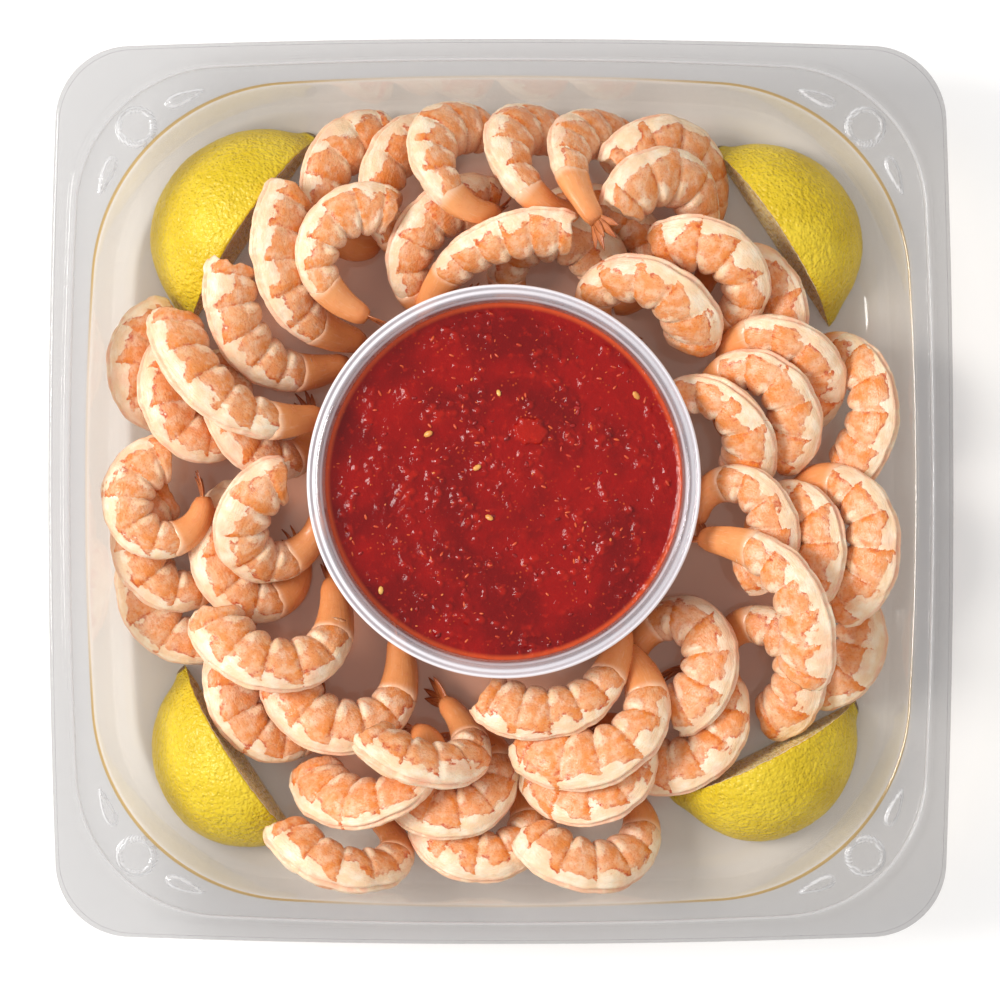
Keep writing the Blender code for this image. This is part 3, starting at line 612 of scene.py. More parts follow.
def middle_line(shape):
    """Place along, x, y and heading at every millimetre, with the middle of the back at the
    origin. The shrimp lies in the XY plane and curls anticlockwise."""
    body, shell, fan = np.radians(SHAPES[shape])
    line = []
    x = y = heading = 0.0
    for along in range(int(BODY_LENGTH + SHELL_LENGTH + FAN_LENGTH) + 1):
        line.append((along, x, y, heading))
        if along < BODY_LENGTH:
            bend = body / BODY_LENGTH * (0.8 + 0.4 * along / BODY_LENGTH)
        elif along < BODY_LENGTH + SHELL_LENGTH:
            bend = shell / SHELL_LENGTH
        else:
            bend = fan / FAN_LENGTH
        x += math.cos(heading + 0.5 * bend)
        y += math.sin(heading + 0.5 * bend)
        heading += bend
    line = np.array(line)
    centre = line[int(BODY_LENGTH / 2)]
    turn = math.pi / 2 - centre[3]
    dx, dy = line[:, 1] - centre[1], line[:, 2] - centre[2]
    line[:, 1] = dx * math.cos(turn) - dy * math.sin(turn) - np.interp(centre[0], *SECTIONS.T[:2])
    line[:, 2] = dx * math.sin(turn) + dy * math.cos(turn)
    line[:, 3] += turn
    return line


def along_line(line, along):
    """Points on the middle line, the way on, and the way out towards the back."""
    x, y, heading = (np.interp(along, line[:, 0], line[:, i]) for i in (1, 2, 3))
    flat = np.zeros_like(x)
    middle = np.stack([x, y, flat], -1)
    onward = np.stack([np.cos(heading), np.sin(heading), flat], -1)
    outward = np.stack([np.sin(heading), -np.cos(heading), flat], -1)
    return middle, onward, outward


# %% Match the mould to a plain body
def mould_points(shape):
    """The corners of the plain faceted shrimp in the mould's space."""
    middle, _, outward = along_line(middle_line(shape), SECTIONS[:, 0])
    points = []
    for i in range(6):
        angle = math.pi / 6 + math.pi / 3 * i
        reach = SECTIONS[:, 1:2] * 1.08 * math.cos(angle)
        side = np.c_[np.zeros((len(SECTIONS), 2)), SECTIONS[:, 2] * math.sin(angle)]
        points.append(middle + outward * reach + side)
    return np.vstack(points)


def best_fit(source, target):
    """The turn, size and shift that lay source on target, pair by pair."""
    source_mean, target_mean = source.mean(0), target.mean(0)
    a, b = source - source_mean, target - target_mean
    u, _, v = np.linalg.svd(a.T @ b)
    flip = np.diag([1.0, 1.0, np.sign(np.linalg.det(u @ v))])
    turn = (u @ flip @ v).T
    size = (b * (a @ turn.T)).sum() / (a * a).sum()
    return turn * size, target_mean - turn @ source_mean * size


def nearest(points, others):
    """For each point the nearest of the others, and how far it is."""
    apart = np.linalg.norm(points[:, None] - others[None], axis=2)
    return others[apart.argmin(1)], apart.min(1)


def lie_of(node, shape):
    """The matrix and shift from the mould's space to where the plain body lies."""
    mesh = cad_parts[node].data
    body = np.unique(np.round([list(v.co / MM) for v in mesh.vertices], 3), axis=0)
    mould = mould_points(shape)
    a, b = mould - mould.mean(0), body - body.mean(0)
    size = math.sqrt((b**2).mean() / (a**2).mean())
    axes_a, axes_b = np.linalg.eigh(a.T @ a)[1], np.linalg.eigh(b.T @ b)[1]
    best = None
    for signs in np.ndindex(2, 2, 2):
        turn = axes_b @ np.diag(1.0 - 2.0 * np.array(signs)) @ axes_a.T
        if np.linalg.det(turn) < 0:
            continue
        laid = a @ turn.T * size + body.mean(0)
        paired, apart = nearest(laid, body)
        if best is None or apart.mean() < best[0]:
            best = (apart.mean(), paired)
    matrix, shift = best_fit(mould, best[1])
    miss = nearest(mould @ matrix.T + shift, body)[1].max()
    return matrix, shift, miss


shrimp_nodes = sorted(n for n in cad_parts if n.startswith("shrimp_"))
lies = {node: lie_of(node, node.split("_")[2]) for node in shrimp_nodes}
print(len(lies), "shrimp found, the worst fit off by", round(max(l[2] for l in lies.values()), 3), "mm")

# %% [markdown]
# ## The shrimp: body
# A peeled shrimp is six muscle segments in a row. From the side each is a soft bulge, shallow at
# the back and deep at the belly, where the segments crowd together in the curl. The shell left
# small round lobes along both flanks, the vein was cut out along the back, and the neck is torn.
# Each of these is one term in a height that pushes the surface in or out.

# %% Relief of the flesh
JOINTS = np.array([6.2, 15.8, 25.4, 34.8, 44.2, 53.4])
BODY_ROWS, BODY_AROUND = 92, 60


def segment_share(along):
    """How far each place lies through its own segment, from 0 to 1."""
    starts = np.r_[-3.6, JOINTS, 64.0]
    index = np.clip(np.searchsorted(starts, along, side="right") - 1, 0, len(starts) - 2)
    return (along - starts[index]) / (starts[index + 1] - starts[index])


def flesh_height(along, turn, seed):
    """How far the flesh stands out, in mm. Turn is 0 at the back and pi at the belly."""
    flank = smooth_rise(0.5, 1.3, turn) * smooth_rise(2.9, 2.3, turn)
    belly = smooth_rise(1.5, 2.6, turn)
    share = segment_share(along)
    bulge = np.sin(math.pi * share) ** 0.7
    height = bulge * (0.25 + 0.35 * flank + 1.1 * belly) - 0.2 - 0.75 * belly
    apart = np.abs(along[..., None] - JOINTS).min(-1)
    height -= np.exp(-((apart / 0.8) ** 2)) * (0.1 + 0.2 * flank + 0.5 * belly)
    for number, joint in enumerate(JOINTS[:5]):
        sway = math.sin(seed * 1.7 + number * 2.3)
        reach = np.hypot(along - joint - 1.2 - sway * 0.8, (turn - 2.0 - 0.1 * sway) * 7.0)
        height += (0.75 + 0.25 * sway) * np.exp(-((reach / 2.3) ** 2))
    swing = 0.8 * np.sin(along * 0.17 + seed) + 0.3 * np.sin(along * 0.6 + 2 * seed)
    return height, swing * smooth_rise(2.0, 8.0, along)


def body_rings(line, seed):
    """Rings of the body from the torn neck to inside the tail shell, with what its material
    reads: place along and turn from the back."""
    t = np.linspace(-1, 1, BODY_AROUND, endpoint=False)
    signed = math.pi * (0.62 * t + 0.38 * t**3)
    turn = np.abs(signed)[None, :] + np.zeros((BODY_ROWS, 1))
    along = np.linspace(0.0, BODY_LENGTH + 1.5, BODY_ROWS)[:, None] + np.zeros((1, BODY_AROUND))
    ragged = np.c_[np.cos(signed) * 2.2, np.sin(signed) * 2.2, np.full(BODY_AROUND, seed * 3.1)]
    torn = 1.5 + 2.4 * unevenness(ragged, 1.3, 11, 3)
    along = along + torn[None, :] * (1.0 - smooth_rise(0.0, 9.0, along))
    middle, _, outward = along_line(line, along)
    depth = np.interp(along, SECTIONS[:, 0], SECTIONS[:, 1])
    width = np.interp(along, SECTIONS[:, 0], SECTIONS[:, 2])
    height, swing = flesh_height(along, turn, seed)
    off_back = signed[None, :] * depth + swing
    vein = smooth_rise(0.5, 5.0, along) * smooth_rise(47.0, 38.0, along)
    height -= vein * 1.25 * np.exp(-((off_back / 0.62) ** 2))
    height += vein * 0.4 * np.exp(-(((np.abs(off_back) - 1.9) / 0.95) ** 2))
    reach_out = depth * (0.985 - 0.03 * smooth_rise(1.6, 3.1, turn))
    reach_side = width * (1.0 + 0.04 * np.sin(turn) ** 2)
    side = np.sin(signed)[None, :]
    front = np.cos(signed)[None, :]
    points = middle + outward * (reach_out * front)[..., None]
    points[..., 2] += reach_side * side
    push = outward * (front * reach_side)[..., None]
    push[..., 2] += side * reach_out
    push /= np.linalg.norm(push, axis=-1, keepdims=True)
    flat = points.reshape(-1, 3) + (0.0, 0.0, seed * 17.3)
    rough = 0.55 * unevenness(flat, 6.5, 3, 2) + 0.14 * unevenness(flat, 1.9, 5, 2)
    height += rough.reshape(height.shape)
    return points + push * height[..., None], along, turn


# %% [markdown]
# Both ends of the body are closed. The tail end is hidden in its shell. The neck end is where
# the head was pulled off, so its cap is a shallow, lumpy bowl of pale muscle.

# %% Close the neck and the tail end
NECK_STEPS = (0.86, 0.66, 0.42, 0.18)


def capped_body(line, seed):
    """Points, faces, place along and turn of the whole closed body."""
    points, along, turn = body_rings(line, seed)
    centre = points[0].mean(0)
    _, onward, _ = along_line(line, np.array([0.0]))
    caps = []
    for step in NECK_STEPS:
        ring = centre + (points[0] - centre) * step
        lump = unevenness(ring + seed * 5.0, 2.2, 21, 2)[:, None]
        caps.append(ring + onward * (0.9 * (1 - step**2) + 0.8 * lump))
    rows = np.vstack([np.array(caps)[::-1], points])
    grid = rows.reshape(-1, 3)
    faces = ring_faces(len(rows), BODY_AROUND) + tip_faces(len(rows), BODY_AROUND, len(grid))
    tips = np.array([rows[0].mean(0), rows[-1].mean(0)])
    neck = np.repeat(-1.0 - 8.0 * (1 - np.array(NECK_STEPS[::-1])), BODY_AROUND)
    all_along = np.r_[neck, along.ravel(), -9.0, BODY_LENGTH]
    all_turn = np.r_[np.tile(turn[0], len(NECK_STEPS)), turn.ravel(), 1.5, 1.5]
    return np.vstack([grid, tips]), faces, all_along, all_turn


# %% [markdown]
# ## The shrimp: tail
# The last segment keeps its shell, a smooth tapering tube with a ragged front edge, slightly
# proud of the flesh. Behind it the tail fan has five narrow blades: one pointed in the middle
# and two on each side, folded almost together.

# %% Tail shell and fan blades
SHELL_ROWS, SHELL_AROUND = 26, 36
BLADES = (  # spread in degrees, length, width, layer
    (-34.0, 11.0, 4.2, -0.5), (-15.0, 12.5, 3.6, 0.0), (0.0, 9.0, 3.2, 0.7), (15.0, 12.5, 3.6, 0.0),
    (34.0, 11.0, 4.2, -0.5),
)
BLADE_ROWS, BLADE_AROUND = 12, 8


def shell_rings(line, seed):
    """Points, faces, place along and turn of the tail shell."""
    signed = 2 * math.pi * np.arange(SHELL_AROUND) / SHELL_AROUND - math.pi
    where = np.c_[np.cos(signed) * 3, np.sin(signed) * 3, np.full(SHELL_AROUND, seed * 2.7)]
    front = 51.8 + 1.1 * unevenness(where, 1.2, 41, 2) - 1.2 * np.cos(signed) ** 2
    share = np.linspace(0.0, 1.0, SHELL_ROWS)[:, None]
    along = front + (72.0 - front) * share
    middle, _, outward = along_line(line, along)
    depth = np.interp(along, SECTIONS[:, 0], SECTIONS[:, 1])
    width = np.interp(along, SECTIONS[:, 0], SECTIONS[:, 2])
    lip = 0.55 * smooth_rise(0.0, 0.03, share) - 0.15
    proud = lip - 0.7 * smooth_rise(0.85, 1.0, share) + 0.12 * np.sin(share * 9.0) * np.abs(np.sin(signed))
    keel = 0.5 * np.exp(-((signed / 0.25) ** 2)) * smooth_rise(0.1, 0.5, share)
    points = middle + outward * ((depth * 0.96 + proud + keel) * np.cos(signed))[..., None]
    points[..., 2] += (width + proud) * np.sin(signed)
    grid = points.reshape(-1, 3)
    tips = np.array([points[0].mean(0), points[-1].mean(0)])
    faces = ring_faces(SHELL_ROWS, SHELL_AROUND) + tip_faces(SHELL_ROWS, SHELL_AROUND, len(grid))
    turn = np.abs(signed)[None, :] + np.zeros_like(along)
    return np.vstack([grid, tips]), faces, np.r_[along.ravel(), 54.0, 72.0], np.r_[turn.ravel(), 1.5, 1.5]


def blade_rings(line, spread, length, wide, layer, seed):
    """Points, faces, place along and turn of one blade of the fan."""
    angle = math.radians(spread * (0.8 + 0.3 * math.sin(seed * 2.1)))
    share = np.linspace(0.0, 1.0, BLADE_ROWS)[:, None]
    outline = np.sin(math.pi * (0.12 + 0.88 * share) ** 0.8) ** 0.75
    reach = share * length
    middle, onward, outward = along_line(line, np.minimum(70.0 + reach * math.cos(angle), 82.0)[:, 0])
    extra = np.maximum(70.0 + reach * math.cos(angle) - 82.0, 0.0)
    around = 2 * math.pi * np.arange(BLADE_AROUND) / BLADE_AROUND
    across = np.cos(around)[None, :] * outline * wide / 2
    thick = np.sin(around)[None, :] * (0.42 - 0.2 * share) + layer * (0.25 + share)
    points = (middle + onward * extra)[:, None, :] + outward[:, None, :] * thick[..., None]
    points[..., 2] += reach * math.sin(angle) + across
    grid = points.reshape(-1, 3)
    faces = ring_faces(BLADE_ROWS, BLADE_AROUND)
    last = (BLADE_ROWS - 1) * BLADE_AROUND
    faces.append(list(range(BLADE_AROUND)))
    faces.append(list(range(last, last + BLADE_AROUND)))
    along = (70.0 + reach + np.zeros_like(across)).ravel()
    turn = (1.2 + np.abs(np.cos(around))[None, :] + np.zeros_like(share)).ravel()
    return grid, faces, along, turn


# %% [markdown]
# ## The shrimp: finish of the flesh
# Cooking turns the pigment under the shell orange. On each segment it stays in one patch on the
# flank, with a torn dark edge towards the back and the tail, and it fades towards the belly. The
# back stays cream, and the cut along it shows pink. The pattern must follow the body, so it
# reads the two numbers stored on every point, `along` and `turn`, and not its place in space.

# %% Flesh material
CREAM, PINK, WHITE = paint(246, 210, 170), paint(243, 186, 154), paint(252, 230, 202)
ORANGE, DEEP = paint(231, 134, 52), paint(194, 60, 14)


def random_field(tree, vector):
    """One fixed random number for each different vector."""
    node = tree.nodes.new("ShaderNodeTexWhiteNoise")
    tree.links.new(vector, node.inputs["Vector"])
    return Field(tree, node.outputs["Value"])


def flesh_finish():
    """Cream flesh with an orange patch on each segment, torn at its edge."""
    finish, tree, shader = new_finish("shrimp_flesh")
    along, turn, lot = (stored_field(tree, name) for name in ("along", "turn", "lot"))
    where = vector_field(tree, along, turn * 7.5, lot * 11.0)
    place = place_field(tree)
    broad = noise_field(tree, where, 0.16, 2.0) - 0.5
    torn = noise_field(tree, where, 0.75, 3.0, 0.6) - 0.5
    segment = (along - 6.0) * (1 / 9.5) + torn * 0.22
    share = segment.math("FRACT")
    luck = random_field(tree, vector_field(tree, segment.math("FLOOR"), lot, 0.0))
    edge = share * share * -0.45 + broad * 1.6 + torn * 0.5 + luck * 0.4 + 0.7
    inside = turn - edge
    patch = inside.rise(0.0, 0.07)
    mottle = noise_field(tree, where, 0.35, 4.0, 0.65).rise(0.34, 0.62)
    fade = turn.rise(2.6, 1.8) * 0.65 + 0.35
    orange = patch * fade * (mottle * 0.45 + 0.55) * (share * 0.3 + 0.7)
    reach_along = (share - 0.12) * 9.5
    reach_turn = (turn - 2.0) * 7.0
    lobe_reach = (reach_along * reach_along + reach_turn * reach_turn).math("SQRT") + torn * 1.6
    lobe = lobe_reach.rise(3.8, 2.0)
    orange = orange * (lobe * -0.75 + 1.0)
    ring = lobe_reach.rise(2.6, 3.2) * lobe_reach.rise(4.4, 3.5) * torn.rise(-0.06, 0.1)
    rim = inside.rise(-0.02, 0.03) * inside.rise(0.26, 0.04)
    rear = share.rise(0.86, 0.97) * patch * turn.rise(1.9, 1.3)
    streak = noise_field(tree, where, 0.5, 3.0, 0.65).rise(0.46, 0.64)
    dark = (rim + rear * 0.7).math("MINIMUM", 1.0) * (streak * 0.75 + 0.08) + ring * 0.25
    neck = along.rise(1.0, -1.5)
    keep = neck * -0.85 + 1.0
    dots = cell_field(tree, place, 1000.0).rise(0.34, 0.16) * patch * 0.3

    pale = colour_mix(tree, noise_field(tree, where, 0.3, 2.0).rise(0.35, 0.7), CREAM, WHITE)
    vein = turn.rise(0.34, 0.12) * noise_field(tree, where, 0.4, 2.0).rise(0.3, 0.6)
    blush = vein * 0.75 + turn.rise(2.0, 3.0) * 0.5 + noise_field(tree, where, 0.12).rise(0.5, 0.75) * 0.5
    pale = colour_mix(tree, blush.math("MINIMUM", 1.0), pale, PINK)
    colour = colour_mix(tree, orange * keep, pale, ORANGE)
    colour = colour_mix(tree, ((dark + dots) * keep).math("MINIMUM", 1.0), colour, DEEP)
    tree.links.new(colour, shader.inputs["Base Color"])

    fibres = noise_field(tree, vector_field(tree, along * 0.8, turn * 12.0, lot), 1.1, 3.0)
    grain = noise_field(tree, place, 1500.0, 2.0)
    height = fibres * 0.7 + grain * 0.25 + orange * 0.35 + dark * -0.3
    tree.links.new(bump_from(tree, height, 0.0004, 0.9), shader.inputs["Normal"])
    tree.links.new((grain * 0.15 + fibres * 0.12 + 0.16).socket, shader.inputs["Roughness"])
    set_softness(shader, 0.45, 0.12, (1.0, 0.45, 0.3), 0.003)
    return finish


# %% Tail shell material
SHELL_ORANGE, SHELL_PALE, FAN_BROWN = paint(236, 156, 96), paint(246, 200, 165), paint(150, 72, 32)


def tail_finish():
    """Orange shell, paler at its front edge and brown at the tips of the fan."""
    finish, tree, shader = new_finish("shrimp_tail_shell")
    along, turn, lot = (stored_field(tree, name) for name in ("along", "turn", "lot"))
    where = vector_field(tree, along, turn * 4.0, lot * 7.0)
    streaks = noise_field(tree, vector_field(tree, along * 0.25, turn * 9.0, lot * 5.0), 0.9, 3.0)
    mottle = noise_field(tree, where, 0.5, 3.0)
    front = along.rise(54.5, 51.8) * 0.75 + streaks.rise(0.55, 0.75) * 0.3
    colour = colour_mix(tree, front.math("MINIMUM", 1.0), SHELL_ORANGE, SHELL_PALE)
    deep = mottle.rise(0.5, 0.75) * 0.35 + along.rise(62.0, 71.0) * 0.3
    colour = colour_mix(tree, deep, colour, paint(214, 112, 52))
    tips = along.rise(69.5, 74.0) * (streaks.rise(0.35, 0.6) * 0.5 + 0.4) + along.rise(78.0, 82.0) * 0.3
    colour = colour_mix(tree, tips.math("MINIMUM", 1.0), colour, FAN_BROWN)
    tree.links.new(colour, shader.inputs["Base Color"])
    height = streaks * 0.6 + mottle * 0.6
    tree.links.new(bump_from(tree, height, 0.0003, 0.6), shader.inputs["Normal"])
    tree.links.new((mottle * 0.15 + 0.18).socket, shader.inputs["Roughness"])
    set_softness(shader, 0.5, 0.08, (1.0, 0.45, 0.3), 0.002)
    return finish


# %% Build all the shrimp
REST_HEIGHT, REST_SOFTNESS = FLOOR_TOP + 0.15, 1.45


def pressed_on_floor(points):
    """The points with those that would dip into the tray's floor bent up to lie on it."""
    bent = points.copy()
    over = points[:, 2] - REST_HEIGHT - REST_SOFTNESS
    low = over < 0
    bent[low, 2] = REST_HEIGHT + REST_SOFTNESS * np.exp(over[low] / REST_SOFTNESS)
    return bent


def make_shrimp(node, flesh, tail):
    """One whole shrimp, modelled in the mould's space and laid where its plain body lies."""
    number = int(node.split("_")[1])
    line = middle_line(node.split("_")[2])
    seed = number * 0.73
    parts = [capped_body(line, seed), shell_rings(line, seed)]
    parts += [blade_rings(line, *blade, seed) for blade in BLADES]
    points, faces, slots, alongs, turns = [], [], [], [], []
    for index, (part_points, part_faces, along, turn) in enumerate(parts):
        first = sum(len(p) for p in points)
        points.append(part_points)
        faces += [[first + i for i in face] for face in part_faces]
        slots += [min(index, 1)] * len(part_faces)
        alongs.append(along)
        turns.append(turn)
    matrix, shift, _ = lies[node]
    laid = pressed_on_floor(np.vstack(points) @ matrix.T + shift)
    shrimp = make_piece(node.replace("shrimp_", "peeled_shrimp_"), laid, faces, [flesh, tail], slots)
    paint_points(shrimp, "along", np.concatenate(alongs))
    paint_points(shrimp, "turn", np.concatenate(turns))
    paint_points(shrimp, "lot", np.full(len(laid), float(number)))
    return settle_piece(shrimp, "cooked_shrimp", node)


flesh_material = flesh_finish()
tail_material = tail_finish()
shrimp_triangles = [make_shrimp(node, flesh_material, tail_material) for node in shrimp_nodes]
print(len(shrimp_nodes), "shrimp,", sum(shrimp_triangles), "triangles, the most", max(shrimp_triangles))

# %% [markdown]
# ## The lemon wedges
# Each wedge is a quarter of a lemon, cut lengthwise, and it lies on one cut face. Any section
# across it is a slice of pie: out along the lower cut, round under the rind and back along the
# upper cut. Rings of that shape, sized by the lemon's outline, give the whole wedge in one
# closed mesh. Cutting a full lemon with two Booleans would work too, but the cut faces would
# come out as two huge flat polygons with no points to shape the pulp from.

# %% Lemon sizes
LEMON_OUTLINE = (
    (-1.0, 0.0), (-0.97, 0.11), (-0.90, 0.26), (-0.78, 0.53), (-0.58, 0.79), (-0.30, 0.96), (0.0, 1.0),
    (0.32, 0.93), (0.60, 0.74), (0.80, 0.48), (0.91, 0.22), (0.98, 0.11), (1.0, 0.0),
)
STEM_SIDE = {"lemon_back_left": -1, "lemon_back_right": 1, "lemon_front_left": -1, "lemon_front_right": 1}
CUT_POINTS, RIND_POINTS, OUTLINE_STEPS = 34, 104, 14
PORE_SPACING, PORE_DEPTH = 1.7, 0.24
RIND_SHARE = 0.905


def wedge_lie(node):
    """Where a wedge's core lies, its directions, its length and radius, and its two cut angles."""
    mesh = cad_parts[node].data
    points = np.unique(np.round([list(v.co / MM) for v in mesh.vertices], 3), axis=0)
    apart = np.linalg.norm(points[:, None] - points[None], axis=2)
    a, b = np.unravel_index(apart.argmax(), apart.shape)
    core, axis = (points[a] + points[b]) / 2, (points[b] - points[a]) / apart[a, b]
    across = points - core
    across -= np.outer(across @ axis, axis)
    reach = np.linalg.norm(across, axis=1)
    edge = across[reach > reach.max() - 0.05]
    low, high = edge[edge[:, 2].argmin()], edge[edge[:, 2].argmax()]
    out = np.array([low[0], low[1], 0.0]) / math.hypot(low[0], low[1])
    along = np.array([-out[1], out[0], 0.0]) * STEM_SIDE[node]
    angles = [math.atan2(p[2], p @ out) for p in (low, high)]
    return core, out, along, apart[a, b], reach.max(), angles


# %% Pores of the rind
def pore_distance(points, spacing, seed):
    """The distance from each point to the nearest of many scattered pores, in spacings."""
    scaled = points / spacing
    cell = np.floor(scaled).astype(np.int64)
    nearest_yet = np.full(len(points), 9.0)
    for step in np.ndindex(3, 3, 3):
        near = cell + np.array(step) - 1
        mixed = (near[:, 0] * 73856093) ^ (near[:, 1] * 19349663) ^ (near[:, 2] * 83492791) ^ (seed * 7919)
        spots = []
        for _ in range(3):
            mixed = (mixed ^ (mixed >> 13)) * 1274126177
            spots.append((mixed & 0xFFFFFF) / 0x1000000)
        apart = np.linalg.norm(near + np.stack(spots, -1) - scaled, axis=1)
        nearest_yet = np.minimum(nearest_yet, apart)
    return nearest_yet


# %% [markdown]
# The rind is dimpled all over, one small pit above each oil gland. The cut faces are not flat:
# the rind stands a little proud, the juice sacs swell in fine ridges that run from the core to
# the rind, and the core itself is a white pithy string.

# %% Shape a wedge
def wedge_rings(node, seed):
    """Rings of a wedge from end to end, its two tips, and what its material reads."""
    core, out, along, length, radius, (low, high) = wedge_lie(node)
    outline = smooth_path(LEMON_OUTLINE, OUTLINE_STEPS)[1:-1]
    size = np.clip(outline[:, 1:2], 0.004, 1.0) * radius
    share = np.linspace(0.0, 0.985, CUT_POINTS)
    blunt = 0.016
    angle = np.r_[np.full(CUT_POINTS, low), np.linspace(low + blunt, high - blunt, RIND_POINTS)]
    angle = np.r_[angle, np.full(CUT_POINTS - 1, high)]
    share = np.r_[share, np.ones(RIND_POINTS), share[:0:-1]]
    rind = np.r_[np.zeros(CUT_POINTS), np.ones(RIND_POINTS), np.zeros(CUT_POINTS - 1)]
    facing = np.r_[np.full(CUT_POINTS, low - math.pi / 2), angle[CUT_POINTS : CUT_POINTS + RIND_POINTS]]
    facing = np.r_[facing, np.full(CUT_POINTS - 1, high + math.pi / 2)]
    up = np.array([0.0, 0.0, 1.0])
    reach = size * share[None, :]
    span = outline[:, :1] * length / 2 + np.zeros_like(reach)
    ways = np.cos(angle)[:, None] * out + np.sin(angle)[:, None] * up
    points = core + span[..., None] * along + reach[..., None] * ways[None]
    flat = points.reshape(-1, 3)
    skin = 0.4 * unevenness(flat, 17.0, seed, 2) + 0.1 * unevenness(flat, 4.0, seed + 1, 2)
    skin -= PORE_DEPTH * smooth_rise(0.75, 0.15, pore_distance(flat, PORE_SPACING, seed))
    sacs = np.c_[span.ravel() / 1.3, reach.ravel() / 6.0, np.full(len(flat), float(seed))]
    inner = share[None, :] + np.zeros_like(reach)
    pulp = 0.32 * unevenness(sacs, 1.0, seed + 2, 3).reshape(reach.shape)
    pulp += 0.35 * smooth_rise(RIND_SHARE - 0.06, RIND_SHARE + 0.02, inner)
    pulp -= 0.45 * smooth_rise(0.05, 0.25, inner) * smooth_rise(RIND_SHARE, 0.75, inner)
    height = np.where(rind[None, :] > 0.5, skin.reshape(reach.shape), pulp) * smooth_rise(0.0, 5.0, size)
    push = np.cos(facing)[:, None] * out + np.sin(facing)[:, None] * up
    points = points + height[..., None] * push[None]
    tips = [core - along * length / 2, core + along * length / 2]
    return points, tips, span, reach, inner, rind[None, :] + np.zeros_like(reach)


def make_wedge(node, seed, finish):
    """One closed wedge, with the numbers its material reads stored on its points."""
    points, tips, span, reach, inner, rind = wedge_rings(node, seed)
    rows, around = reach.shape
    faces = ring_faces(rows, around) + tip_faces(rows, around, rows * around)
    all_points = np.vstack([points.reshape(-1, 3), tips])
    wedge = make_piece(node.replace("lemon_", "lemon_wedge_"), all_points, faces, [finish])
    half = np.abs(span).max()
    for name, values, ends in (
        ("span", span, (-half, half)), ("reach", reach, (0.0, 0.0)), ("inner", inner, (1.0, 1.0)),
        ("rind", rind, (1.0, 1.0)), ("stem", span / half, (-1.0, 1.0)),
    ):
        paint_points(wedge, name, np.r_[values.ravel(), ends])
    return settle_piece(wedge, "lemon", node)


# %% [markdown]
# The rind's yellow varies at random between two yellows and is greener near the ends, with a
# darker dot in each pit. Its gloss is low and broad, because the dimples scatter it. The pulp is
# paler and wetter, with light threads between the juice sacs.

# %% Lemon material
RIND_YELLOW, RIND_LIGHT, RIND_GREEN = paint(217, 186, 30), paint(230, 201, 50), paint(196, 172, 30)
PITH, PULP, PULP_DEEP = paint(250, 240, 206), paint(246, 226, 150), paint(226, 194, 110)
STEM_BROWN, PORE_BROWN = paint(112, 84, 44), paint(180, 138, 14)


def lemon_finish():
    """Dimpled yellow rind outside, and pith, juice sacs and core on the cut faces."""
    finish, tree, shader = new_finish("lemon")
    names = ("span", "reach", "inner", "rind", "stem")
    span, reach, inner, rind, stem = (stored_field(tree, name) for name in names)
    place = place_field(tree)
    broad = noise_field(tree, place, 60.0, 3.0)
    pores = cell_field(tree, place, 760.0)
    colour = colour_mix(tree, broad.rise(0.35, 0.65), RIND_YELLOW, RIND_LIGHT)
    unripe = noise_field(tree, place, 25.0).rise(0.55, 0.75) * 0.35
    green = stem.math("ABSOLUTE").rise(0.72, 0.98) * 0.6 + unripe
    colour = colour_mix(tree, green.math("MINIMUM", 1.0), colour, RIND_GREEN)
    dots = pores.rise(0.5, 0.15) * (noise_field(tree, place, 240.0).rise(0.35, 0.6) * 0.12 + 0.06)
    colour = colour_mix(tree, dots, colour, PORE_BROWN)
    scar = stem.rise(0.955, 0.975)
    colour = colour_mix(tree, scar, colour, STEM_BROWN)

    sac_place = vector_field(tree, span * 0.75, reach * 0.13, rind)
    sacs = noise_field(tree, sac_place, 1.0, 3.0, 0.6)
    pulp = colour_mix(tree, sacs.rise(0.35, 0.62), PULP_DEEP, PULP)
    threads = sacs.rise(0.44, 0.5) * sacs.rise(0.56, 0.5)
    pulp = colour_mix(tree, threads * 0.6, pulp, PITH)
    white = inner.rise(RIND_SHARE - 0.03, RIND_SHARE + 0.01) + inner.rise(0.07, 0.03)
    pulp = colour_mix(tree, white.math("MINIMUM", 1.0), pulp, PITH)
    pulp = colour_mix(tree, inner.rise(0.955, 0.975), pulp, RIND_YELLOW)
    tree.links.new(colour_mix(tree, rind.rise(0.3, 0.7), pulp, colour), shader.inputs["Base Color"])

    fine = noise_field(tree, place, 1400.0, 2.0)
    dimples = noise_field(tree, place, 620.0, 1.0)
    height = dimples * 1.1 + pores.rise(0.1, 0.5) * 0.2 + fine * 0.1 + (sacs * (rind * -1.0 + 1.0)) * 0.6
    tree.links.new(bump_from(tree, height, 0.0009, 0.95), shader.inputs["Normal"])
    tree.links.new((fine * 0.12 + rind * 0.1 + 0.18).socket, shader.inputs["Roughness"])
    set_softness(shader, 0.4, 0.1, (1.0, 0.8, 0.2), 0.002)
    return finish


# %% Build the wedges
lemon_material = lemon_finish()
wedge_triangles = [make_wedge(node, 7 + 4 * i, lemon_material) for i, node in enumerate(sorted(STEM_SIDE))]
print(len(wedge_triangles), "lemon wedges with", sum(wedge_triangles), "triangles")

# %% [markdown]
# ## The cocktail sauce
# The sauce is a thick pulp of tomato and horseradish, poured and swirled, so its top is a
# relief of soft ridges with grainy bits and one lump. It is modelled as a closed body: a polar
# grid for the top, and the cup's inner profile below, a hair inside the cup's wall so that no
# gap of air shows through the plastic.

